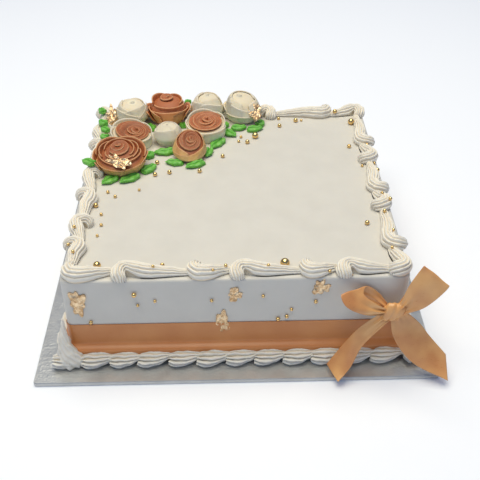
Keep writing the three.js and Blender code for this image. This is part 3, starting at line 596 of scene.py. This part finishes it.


# Painted shade for the hollows of piped icing
GROOVE_SHADE = (0.68, 0.56, 0.38)
SMOOTH_ICING = icing("smooth_icing", (0.636, 0.607, 0.546), GROOVE_SHADE, fine=0.06)
PIPED_ICING = icing("piped_icing", (0.80, 0.76, 0.675), GROOVE_SHADE)
# Each rose paint: inside, outside, rim (a painted highlight), low (painted light for the shaded lower
# outsides) and streak colours
COPPER = petals_paint("copper_petals", (0.43, 0.14, 0.054), (0.84, 0.37, 0.15), (0.64, 0.34, 0.17),
                      (0.95, 0.46, 0.19), (0.31, 0.092, 0.038))
# Painted shade: a darker copy of the copper paint for the roses whose steeper petals lie in more shade
SHADE_PAINTED_COPPER = petals_paint("shade_painted_copper_petals", (0.345, 0.105, 0.038), (0.60, 0.34, 0.125),
                           (0.58, 0.30, 0.145), (0.98, 0.62, 0.25), (0.26, 0.075, 0.03))
WHITE = petals_paint("white_petals", (0.60, 0.52, 0.39), (0.62, 0.54, 0.41), (0.72, 0.64, 0.52),
                     (1.0, 0.9, 0.66), (0.66, 0.53, 0.29), painted_light_fade=(0.5, 1))
LEAF = leaf_paint()
GOLD = gold_paint()
GOLD_LEAF = gold_leaf_paint()
# The light and deep satin colours are the painted lit and shaded sides of folds
BAND_SATIN = satin_paint("band_satin", (0.61, 0.25, 0.082), (0.55, 0.205, 0.063), 0.45)
BOW_SATIN = satin_paint("bow_satin", (0.74, 0.39, 0.14), (0.54, 0.215, 0.07), 0.7)
FOIL = foil_paint()


# The piped borders

def shell_ring(middle, out, lift, reach, tall, depth):
    """A section of a shell: ridges over a half round, from its outer foot to its inner side."""
    tube, inner, inner_tall = reach
    angle = np.linspace(0, np.pi, 44)
    ridge = star(angle, SHELL["ridges"], depth)
    outer = np.cos(angle) > 0
    across = np.cos(angle) * np.where(outer, tube, inner) * ridge
    base = np.where(outer, 0, inner_tall)
    high = base + (tall * ridge - base) * np.sin(angle) ** SHELL["full"]
    ring = middle + across[:, None] * out + high[:, None] * lift
    foot = middle - inner * out
    # How deep each point lies in a groove; the icing paints it darker there as painted shade
    groove = np.clip(1 - (ridge - 1 + depth) / depth, 0, 1) ** 2
    return np.vstack([ring, foot]), np.append(groove, 0)


def shell_head(pivot, hand, size):
    """Sections of a head: they rise from the foot like a fan, then turn a quarter round the pivot."""
    steps = 34
    for i in range(steps + 1):
        s = i / steps
        rise = math.radians(lerp(0, 90, smooth(s / SHELL["risen_by"])))
        swept = smooth((s - SHELL["turns_from"]) / (1 - SHELL["turns_from"]))
        angle = math.radians(lerp(190, 90, swept))
        out = np.array([math.cos(angle), hand * math.sin(angle), 0])
        back = np.array([-math.sin(angle), hand * math.cos(angle), 0])
        lift = back * math.cos(rise) + np.array([0, 0, math.sin(rise)])
        wide = size * lerp(0.86, 1, smooth(s * 2))
        reach = SHELL["tube"] * wide, SHELL["curl"] * wide, SHELL["eye"] * size * lerp(0.4, 1, s)
        tall = size * lerp(SHELL["forward"], SHELL["tall"], math.sin(rise))
        depth = lerp(SHELL["end_groove"], SHELL["groove"], s)
        yield shell_ring(pivot + out * SHELL["curl"] * wide, out, lift, reach, tall, depth)


def shell_tail(pivot, hand, length, size):
    """Sections of a tail: it thins, sinks and swings across the line of the border."""
    curl, tube = SHELL["curl"] * size, SHELL["tube"] * size
    swing = TAIL["swing"][hand]
    steps = max(8, round(length / 2))
    for i in range(1, steps + 1):
        t = i / steps
        swung = smooth(t * TAIL["sweep"][hand])
        middle = pivot + np.array([length * t, hand * (curl - swing * swung), 0])
        out = np.array([swing * 4 * t * (1 - t) / length, hand, 0])
        out /= np.linalg.norm(out)
        thinned = smooth(t * 0.8) / smooth(0.8)
        outer = lerp(tube, TAIL["tube"], thinned)
        opened = smooth(t * 5)
        reach = outer, lerp(curl, outer, opened), lerp(SHELL["eye"] * size, 0, opened)
        tall = lerp(SHELL["tall"] * size, TAIL["tall"], thinned)
        depth = lerp(SHELL["groove"], SHELL["end_groove"], t)
        yield shell_ring(middle, out, np.array([0, 0, 1]), reach, tall, depth)


def top_border(side):
    """The shells along one top edge, whose heads curl in opposite ways by turns."""
    first, heads, end = TOP_RUNS[side]
    form = Form()
    random = np.random.default_rng(SIDES[side] + 5)
    for i, start in enumerate(heads):
        hand = -first if i % 2 else first
        size = random.uniform(0.96, 1.04)
        along = start + SHELL["curl"] + SHELL["tube"]
        pivot = np.array([along, SHELL["line"] - hand * SHELL["shift"] - HALF, 0])
        following = heads[i + 1] + SHELL["overlap"] if i + 1 < len(heads) else end
        sections = [*shell_head(pivot, hand, size), *shell_tail(pivot, hand, following - along, size)]
        rings = turned(np.array([ring for ring, _ in sections]), SIDES[side])
        high = np.clip(rings[..., 2:] / 4, 0, 1)
        for axis, seed in enumerate((1, 2, 3)):
            shift = 0.3 * ripple(rings, 11, seed) + 0.12 * ripple(rings, 3, seed + 9)
            rings[..., axis] += shift * high[..., 0]
        rings[..., 2] = TOP + np.maximum(rings[..., 2], 0)
        add_tube(form, rings, groove=[groove for _, groove in sections])
    return form


def foot_shell(along, wider, size):
    """One plain shell of the foot border. Its ridges start as teeth and run together in a raised tail."""
    steps = 40
    angle = all_round(96)
    rings, grooves = [], []
    for i in range(steps + 1):
        s = i / steps
        head = math.sin(math.radians(lerp(*FOOT["steep"], min(1, s / FOOT["head"]))))
        thick = head * lerp(1, FOOT["tail"], smooth((s - FOOT["head"]) / (1 - FOOT["head"])))
        depth = lerp(*FOOT["groove"], s)
        ridge = star(angle / 2 + FOOT["twist"] * s, FOOT["ridges"], depth)
        tooth = (ridge - 1 + depth) / depth
        half = FOOT["half_wide"] * wider * size * thick
        tall = FOOT["half_tall"] * size * thick
        across = lerp(*FOOT["away"], smooth(s)) * wider + half * np.cos(angle) * ridge
        high = lerp(*FOOT["high"], smooth(s)) + tall * np.sin(angle) * ridge
        ahead = along + FOOT["long"] * s - FOOT["tooth"] * tooth * (1 - s) ** 4
        rings.append(np.stack([ahead, -HALF - across, high], -1))
        # How deep each point lies in a groove, for the painted shade in the icing
        grooves.append(np.clip(1 - tooth, 0, 1) ** 2)
    return np.array(rings), grooves


def foot_border(side):
    """The shells along one bottom edge, kept off the cake and above the board."""
    form = Form()
    wider = FOOT_WIDER[side]
    random = np.random.default_rng(SIDES[side] + 31)
    start = -HALF - FOOT["corner"]
    count = int((2 * HALF + FOOT["corner"]) / FOOT["pitch"]) + 1
    for shell in range(count):
        along = start + shell * FOOT["pitch"] + random.uniform(-1, 1)
        rings, grooves = foot_shell(along, wider, random.uniform(0.94, 1.05))
        for axis, seed in enumerate((4, 5, 6)):
            rings[..., axis] += 0.3 * ripple(rings, 9, seed) + 0.12 * ripple(rings, 2.5, seed + 9)
        rings[..., 2] = TABLE + np.maximum(rings[..., 2], 0)
        rings[..., 1] = np.minimum(rings[..., 1], -HALF - FOOT["start"])
        rings[..., 0] = np.minimum(rings[..., 0], HALF + FOOT["corner"])
        add_tube(form, turned(rings, SIDES[side]), groove=grooves)
    if side == "front":
        corner_peak(form)
    return form


def corner_peak(form):
    """Ridged icing drawn up to a point at the corner."""
    angle = all_round(48)
    rings, grooves = [], []
    for x, y, z, wide, deep in curve_through(CORNER_PEAK, 30):
        ridge = star(angle / 2 + z / 24, PEAK["ridges"], PEAK["groove"])
        across, along = wide * ridge * np.cos(angle), deep * ridge * np.sin(angle)
        ring = np.stack([x + across, y + along, 0 * angle + z], -1)
        uneven = 0.6 * np.stack([ripple(ring, 7, seed) for seed in (7, 8, 9)], -1)
        rings.append(ring + uneven * min(1, deep / 3))
        # How deep each point lies in a groove, for the painted shade in the icing, at most 0.6
        grooves.append((1 - (ridge - 1 + PEAK["groove"]) / PEAK["groove"]) ** 2 * 0.6)
    add_tube(form, rings, groove=grooves)


# The cake, its ribbon band and the board

def rounded_square(half, corner):
    """Points round a square with round corners, anticlockwise, and the straight stretches divided too."""
    inner = half - corner
    quarter = [(inner + corner * math.cos(a), inner + corner * math.sin(a), 0)
               for a in np.radians(np.linspace(0, 90, 10))]
    quarter += [(x, half, 0) for x in np.linspace(inner, -inner, 26)[1:-1]]
    return np.vstack([turned(np.array(quarter), degrees)[:, :2] for degrees in (0, 90, 180, 270)])


def cake_body():
    """The covered cake: straight sides, a rounded edge and a flat top."""
    form = Form()
    bevel = CAKE["bevel"]
    rings = [(0.0, z) for z in np.linspace(TABLE, TOP - bevel, 14)]
    for a in np.radians(np.linspace(10, 90, 9)):
        rings.append((bevel * (1 - math.cos(a)), TOP - bevel + bevel * math.sin(a)))
    grid = []
    for inset, z in rings:
        square = rounded_square(HALF - inset, max(CAKE["corner"] - inset, CAKE["least_corner"]))
        grid.append(np.column_stack([square, np.full(len(square), z)]))
    rim = grid[-1]
    grid += [rim * (share, share, 1) for share in (0.96, 0.85, 0.6, 0.3)]
    add_tube(form, grid)
    return form


def ribbon_band():
    """The ribbon round the cake. Its lowest part leans out over the foot border."""
    form = Form()
    outer, inner = [], []
    for t in np.linspace(0, 1, 50):
        z = lerp(BAND["low"], BAND["high"], t)
        flare = BAND["flare"] * smooth((BAND["bend"][0] - z) / (BAND["bend"][0] - BAND["bend"][1]))
        for rings, away in ((outer, flare + BAND["away"] + RIBBON_THICK), (inner, flare + BAND["away"])):
            square = rounded_square(HALF + away, CAKE["corner"] + away)
            rings.append(np.column_stack([square, np.full(len(square), z)]))
    rings = np.array(outer + inner[::-1])
    rows, columns = rings.shape[:2]
    # The last ring joins the first, so the skin goes round the ribbon's thickness
    form.add(rings, ring_quads(rows + 1, columns) % (rows * columns))
    return form


# Roses

Rose = namedtuple("Rose", "at size eye slope boxy")


def rose_points(rose, radius, angle, height):
    """Places from shares of a rose's radius and height. Towards the middle they lean to its eye."""
    (x, y), (wide, tall) = rose.at, rose.size
    inner = 1 - np.clip(radius, 0, 1)
    across = wide * radius * np.cos(angle) + rose.eye[0] * inner
    along = wide * radius * np.sin(angle) + rose.eye[1] * inner
    raised = 1 + (rose.slope[0] * across + rose.slope[1] * along) / wide
    up = tall * np.maximum(height * raised, 0)
    return np.stack(np.broadcast_arrays(x + across, y + along, TOP + up), -1)


def half_thickness(rose, v):
    """Half a petal's thickness from its foot to its rim, as a share of the rose's radius."""
    return lerp(PETAL["edge"], PETAL["thick"], (1 - v) ** 0.6) / 2 / rose.size[0]


def petal(form, rose, turn, span, foot, rim, roll, seed, outer):
    """An open petal between the (radius, height) of its foot and of its rim."""
    v, u = sheet_grid(15, 25)
    angle = np.radians(turn + span / 2 * u)
    rolled = roll * np.clip(v - 0.65, 0, 1) ** 2 * 3
    height = lerp(foot[1], rim[1], v * (1 - PETAL["drop"] * np.abs(u) ** 2.6)) - rolled
    radius = lerp(foot[0], rim[0], v ** PETAL["flare"]) + PETAL["tuck"] * u + rolled
    radius = radius - 0.04 * v * np.abs(u) ** 3 + PETAL["wave"] * np.sin(3.3 * u + seed) * v**2
    half = half_thickness(rose, v)
    outside = rose_points(rose, radius + half, angle, height)
    inside = rose_points(rose, radius - half, angle, height)
    add_sheet(form, outside, inside, outer=(outer, 0.0), rise=(v, v))


def closed_petal(form, rose, turn, span, foot, stand, rim, slant, seed):
    """A petal that hugs a dome. Its rim lies so many degrees up the dome, and slants."""
    v, u = sheet_grid(17, 33)
    angle = np.radians(turn + span / 2 * u)
    top = rim + slant * u - 12 * np.abs(u) ** 3 + 2.5 * np.sin(3.7 * u + seed)
    rise = np.radians(np.clip(top * v, 0, 89))
    out = stand * np.cos(rise) ** rose.boxy * lerp(foot, 1, smooth(rise * 2.2)) + 0.03 * v**4
    half = half_thickness(rose, v)
    outside = rose_points(rose, out + half * np.cos(rise), angle, (stand + half * v) * np.sin(rise))
    inside = rose_points(rose, out - half * np.cos(rise), angle, (stand - half * v) * np.sin(rise) - 0.005)
    add_sheet(form, outside, inside, outer=(1.0, 0.0), rise=(v, v))


def spiral(form, rose, turn, turns, rim, high, step, dish):
    """A long petal wound into a whorl. The edge of each turn stands a little over the next one inside."""
    t, v = np.meshgrid(np.linspace(0, 1, int(turns * 40)), np.linspace(0, 1, 9), indexing="ij")
    angle = 2 * np.pi * turns * t + math.radians(turn)
    gap = rim / turns
    petals = np.sin(angle * 1.3 + turn)
    edge = rim * (1 - 0.9 * t) ** 0.95 + 0.14 * gap * petals
    radius = np.maximum(edge - 1.3 * gap * (1 - v), 0.3 * edge)
    height = high - dish * np.sin(np.pi * t) - 0.2 * step * (petals + 1) * v - step * (1 - v) ** 1.3
    height = height - (0.5 * step + 0.03) * (1 - smooth(7 * t)) * v
    half = half_thickness(rose, v)
    lower = rose_points(rose, radius + 0.7 * half, angle, height - half)
    upper = rose_points(rose, np.maximum(radius - 0.7 * half, 0.002), angle, height + half)
    add_sheet(form, lower, upper, outer=(0.5, 0.0), rise=(v, v))


def mound(form, rose, outline, outer):
    """What the petals are piped on, through (radius, height) shares from the bottom up."""
    around = 48
    outline = np.array(outline)
    rings = rose_points(rose, outline[:, :1], all_round(around), outline[:, 1:])
    rise = np.repeat(np.clip(0.1 + outline[:, 1], 0, 0.85), around)
    add_tube(form, rings, rise=rise, outer=np.repeat(np.array(outer, float), around))


def dome(boxy):
    """The (radius, height) outline of a closed rose's mound."""
    stand, foot = DOME["stand"], DOME["foot"]
    outline = [(stand * foot, 0)]
    for a in np.radians(np.linspace(4, 88, 14)):
        widened = lerp(foot, 1, smooth(a * 2.2))
        outline.append((stand * math.cos(a) ** boxy * widened, stand * math.sin(a)))
    return outline


ROSE_PAINTS = {
    "copper": (COPPER, "copper_icing"),
    "shade-painted copper": (SHADE_PAINTED_COPPER, "copper_icing"),
    "white": (WHITE, "white_icing"),
}


def add_petals(form, rose, facts, foot, seed):
    """The open petals of a rose, and then the closed ones that hug its dome."""
    for i, (turn, span, wide, tall, roll) in enumerate(facts.get("open", [])):
        rim = (wide, tall)
        if wide >= OUTER_RIM:
            petal(form, rose, turn, span, (foot, 0), rim, roll, seed + 2 * i, 1.0)
        else:
            start = (INNER_PETAL["foot"] * wide, tall - INNER_PETAL["tall"])
            petal(form, rose, turn, span, start, rim, roll, seed + 2 * i, INNER_PETAL["mark"])
    for i, (turn, span, stand, rise, slant) in enumerate(facts.get("closed", [])):
        closed_petal(form, rose, turn, span, foot, stand, rise, slant, seed + 2 * i)


def make_rose(number, name, facts):
    rose = Rose(facts["at"], facts["size"], facts["eye"], facts["slope"], facts.get("boxy", DOME["boxy"]))
    middle = Form()
    outside = Form() if facts.get("white_outside") else middle
    turn, turns, rim, high, step, dish = facts["whorl"]
    outline = facts.get("mound", dome(rose.boxy))
    crest = OUTSIDE_UP_TO["closed" if "closed" in facts else "open"] * high
    is_outside = ["mound" not in facts or height <= crest for _, height in outline]
    mound(outside, rose, outline, is_outside)
    add_petals(outside, rose, facts, outline[0][0], number)
    if outside is not middle:
        # The copper core that the whorl is wound on
        floor = high - step - 0.07
        core = [(0.6 * rim, 0.5), (0.96 * rim, 0.7), (0.98 * rim, floor), (0.05, floor)]
        mound(middle, rose, core, [1, 1, 0, 0])
    spiral(middle, rose, turn, turns, rim, high, step, dish)
    paint, slot = ROSE_PAINTS[facts["colour"]]
    make_piece(middle, f"{name}_petals", paint, slot, name)
    if outside is not middle:
        make_piece(outside, f"{name}_outer", WHITE, "white_icing", name)


# Leaves

def leaf(number, x, y, heading, length, wide, raised):
    """A piped leaf: two ruffled lobes beside a crease, drawn out to a point."""
    form = Form()
    s, u = sheet_grid(50, 25)
    random = np.random.default_rng(number + 60)
    length = length * LEAF_SHAPE["longer"]
    side = np.abs(u)
    phase = random.uniform(0, 6, 3)
    shift = phase[0] + (u > 0) * phase[1]
    ruffle = np.sin(2 * np.pi * s * length / LEAF_SHAPE["ruffle"] - 1.6 * side + shift)
    outline = np.clip(1.2 * (s + 0.02) ** 0.34 * (1 - s**2.2) ** 0.9, 0.03, 1)
    half = wide / 2 * LEAF_SHAPE["wider"] * outline * (1 + 0.07 * ruffle * side)
    lobes = np.sin(np.pi * side**0.7 * 0.9) ** 0.6
    body = LEAF_SHAPE["tall"] * (1.1 - s) ** 0.5
    front = 0.6 + body * (0.3 + 0.7 * lobes) * (1 + 0.08 * ruffle) + 0.25 * ruffle * side
    front = front * np.clip((1 - s) * 6, 0.2, 1) * np.clip(s * 12, 0.4, 1) + 2.2 * s**2
    back = np.minimum(front - LEAF_SHAPE["thin"], 0.4 + 1.8 * s**2)
    bend = random.uniform(-LEAF_SHAPE["bend"], LEAF_SHAPE["bend"]) * length * s**2
    a = math.radians(heading)
    sideways = u * half + bend
    px = x + length * s * math.cos(a) - sideways * math.sin(a)
    py = y + length * s * math.sin(a) + sideways * math.cos(a)
    front, back = (np.stack([px, py, TOP + raised + up], -1) for up in (front, back))
    # Painted shade: the middle crease and the troughs of the ruffles are marked to be painted darker
    groove = np.clip(1 - 4 * side, 0, 1) * 0.6 + np.clip(-ruffle, 0, 1) * 0.15
    add_sheet(form, front, back, groove=(groove, 0.0))
    name = f"leaf_{number + 1:02d}"
    make_piece(form, f"{name}_ruffled", LEAF, "green_icing", name)


# Gold

def pearl(form, x, y, z, wide):
    """A ball of rings, with a very small one at either end."""
    end = 0.04
    down, around = np.linspace(end, np.pi - end, 12)[:, None], all_round(20)
    ball = [np.sin(down) * np.cos(around), np.sin(down) * np.sin(around), np.cos(down) + 0 * around]
    add_tube(form, np.array([x, y, z]) + np.stack(ball, -1) * wide / 2)


def flake(form, centre, across, up, deep, seed):
    """A torn, crumpled flake of gold leaf, spread along two directions."""
    random = np.random.default_rng(seed)
    across, up = np.array(across, float), np.array(up, float)
    off = np.cross(across, up)
    off = off / np.linalg.norm(off)
    v, u = np.meshgrid(np.linspace(-1, 1, 30), np.linspace(-1, 1, 30), indexing="ij")
    reach = np.maximum(np.abs(u), np.abs(v))
    turn = np.arctan2(v, u)
    torn = 0.95
    for wave in range(2, 9):
        torn = torn + random.uniform(-0.17, 0.17) * np.sin(wave * turn + random.uniform(0, 6.3))
    length = np.sqrt(u * u + v * v) + 1e-9
    u, v = u / length * reach * torn, v / length * reach * torn
    flat = np.array(centre) + u[..., None] * across + v[..., None] * up
    crumple = np.abs(ripple(flat, 8, seed)) * 0.6 + np.abs(ripple(flat, 4, seed + 1)) * 0.3
    front = flat + off * (0.35 + deep * crumple)[..., None]
    add_sheet(form, front, flat + off * 0.05)


# The bow

def ribbon_strip(form, edge, rim, fold_at):
    """A strip of ribbon ruled between two edge curves, with pleats where it enters the knot."""
    steps, across = 90, 26
    one, two = curve_through(edge, steps), curve_through(rim, steps)
    t, u = np.linspace(0, 1, steps)[:, None], np.linspace(0, 1, across)[None, :]
    surface = one[:, None] + (two - one)[:, None] * u[..., None]
    along = np.gradient(surface, axis=0)
    normal = np.cross(np.gradient(surface, axis=1), along)
    normal /= np.linalg.norm(normal, axis=-1)[..., None] + 1e-9
    near = sum(np.exp(-((t - at) / 0.15) ** 2) for at in fold_at)
    pleats = near * (1.0 * np.sin(u * 13) + 0.6 * np.sin(u * 23 + 2))
    folds = sum(np.exp(-((t - at) / 0.4) ** 2) for at in fold_at) * 0.5 * np.sin(u * 9 + 2 * t)
    billow = folds + 0.9 * np.sin(np.pi * u) * np.sin(np.pi * t) * np.sin(7 * t)
    surface = surface + normal * (pleats + billow)[..., None]
    add_sheet(form, surface + normal * RIBBON_THICK / 2, surface - normal * RIBBON_THICK / 2)


def knot(form):
    """The ribbon wrapped over the middle of the bow, with pleats along it."""
    centre, size = np.array(KNOT["place"], float), np.array(KNOT["size"], float) / 2
    a, b = np.linspace(0, np.pi, 40)[:, None], all_round(60)[None, :]
    pleat = 1 + (0.09 * np.sin(6 * a + 1.2 * np.sin(b)) + 0.06 * np.sin(13 * a - 2 * b)) * np.sin(a)
    x = np.cos(a) * np.ones_like(b) + 0.12 * np.sin(a) * np.sin(b)
    y = np.sin(a) ** 0.7 * np.cos(b) * pleat
    z = np.sin(a) ** 0.7 * np.sin(b) * pleat * (1 - 0.25 * np.cos(a)) + 0.22 * np.cos(a)
    add_tube(form, centre + np.stack([x, y, z], -1) * size)


# Everything in its place

def seat_heights(forms):
    """A function that gives the height of the icing at a place on the top."""
    points, faces = [], []
    for form in forms:
        start = len(points)
        points += form.all_points().tolist()
        faces += [[i + start for i in face] for face in form.faces]
    tree = BVHTree.FromPolygons([Vector(p) for p in points], faces)

    def height(x, y):
        hit = tree.ray_cast(Vector((x, y, 2 * TOP)), Vector((0, 0, -1)))[0]
        return max(hit.z, TOP) if hit else TOP

    return height


def make_pearls(borders):
    height = seat_heights(borders.values())
    pearls = Form()
    for x, y, wide in PEARLS_ON_TOP:
        pearl(pearls, x, y, height(x, y) + PEARL_STANDS["top"] * wide, wide)
    for x, z, wide in PEARLS_IN_FRONT:
        pearl(pearls, x, -HALF - PEARL_STANDS["front"] * wide, z, wide)
    make_piece(pearls, "gold_pearls", GOLD, "gold", "cake")


def make_flakes():
    flakes = Form()
    for number, (_, *shape) in enumerate(FLAKES):
        flake(flakes, *shape, 40 + number)
    make_piece(flakes, "gold_flakes", GOLD_LEAF, "gold", *dict.fromkeys(node for node, *_ in FLAKES))


def make_ribbons():
    band = make_piece(ribbon_band(), "satin_band", BAND_SATIN, "satin_ribbon", "ribbon_band")
    bow_form = Form()
    for name, (edge, rim) in BOW.items():
        ribbon_strip(bow_form, edge, rim, (0.0, 1.0) if "loop" in name else (0.0,))
    knot(bow_form)
    bow = make_piece(bow_form, "satin_bow", BOW_SATIN, "satin_ribbon", "bow")


def build():
    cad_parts["board"].data.materials.clear()
    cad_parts["board"].data.materials.append(FOIL)
    make_piece(cake_body(), "cake_body", SMOOTH_ICING, "icing", "cake")
    borders = {side: top_border(side) for side in SIDES}
    for side in SIDES:
        make_piece(borders[side], f"top_shells_{side}", PIPED_ICING, "icing", f"border_top_{side}")
        make_piece(foot_border(side), f"foot_shells_{side}", PIPED_ICING, "icing", f"border_foot_{side}")
    for number, (name, facts) in enumerate(ROSES.items()):
        make_rose(number, name, facts)
    for number, entry in enumerate(LEAVES):
        leaf(number, *entry)
    make_pearls(borders)
    make_flakes()
    make_ribbons()


# The room: floor, light and camera

def make_floor():
    corners = [(-FLOOR, -FLOOR, 0), (FLOOR, -FLOOR, 0), (FLOOR, FLOOR, 0), (-FLOOR, FLOOR, 0)]
    floor = bpy.data.meshes.new("floor")
    floor.from_pydata(corners, [], [(0, 1, 2, 3)])
    paint = Paint("pale_floor", Base_Color=(0.88, 0.89, 0.92, 1), Roughness=0.9, Specular_IOR_Level=0.1,
                  Emission_Color=(0.5, 0.7, 1.0, 1), Emission_Strength=0.06)
    floor.materials.append(paint.material)
    ground = add_object("floor", floor)
    ground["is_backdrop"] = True


def make_walls():
    """The light that the room gives back from all round."""
    world = bpy.data.worlds.new("room")
    bpy.context.scene.world = world
    world.use_nodes = True
    background = world.node_tree.nodes["Background"]
    background.inputs[0].default_value = WALLS["color"]
    background.inputs[1].default_value = WALLS["strength"]


def soft_light(name, size, energy, color, place):
    """A soft light in its place, facing the cake."""
    lamp = bpy.data.lights.new(name, "AREA")
    lamp.shape = "RECTANGLE"
    lamp.size, lamp.size_y = size
    lamp.energy = energy
    lamp.color = color
    light = add_object(name, lamp)
    light.location = place
    light.rotation_euler = (-light.location).to_track_quat("-Z", "Y").to_euler()


def make_camera():
    yaw, pitch, roll = (math.radians(CAMERA[k]) for k in ("yaw", "pitch", "roll"))
    ahead = Vector((math.sin(yaw) * math.cos(pitch), math.cos(yaw) * math.cos(pitch), -math.sin(pitch)))
    right = Vector((math.cos(yaw), -math.sin(yaw), 0))
    up = right.cross(ahead)
    across = math.cos(roll) * right + math.sin(roll) * up
    above = math.cos(roll) * up - math.sin(roll) * right
    data = bpy.data.cameras.new("camera")
    data.sensor_width, data.lens = 36, CAMERA["lens"]
    data.clip_start, data.clip_end = 0.01, 20
    camera = add_object("camera", data)
    axes = Matrix((across, above, -ahead)).transposed().to_4x4()
    camera.matrix_world = Matrix.Translation(Vector(CAMERA["place"]) * MM) @ axes
    bpy.context.scene.camera = camera


make_camera()
make_floor()
make_walls()
soft_light("softbox", **SOFTBOX)
soft_light("fill", **FILL)
build()
bpy.context.scene.view_settings.view_transform = "Standard"

boxes = {"cad": cad_box, "visual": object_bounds()}
{name: [list(corner) for corner in box] for name, box in boxes.items()}
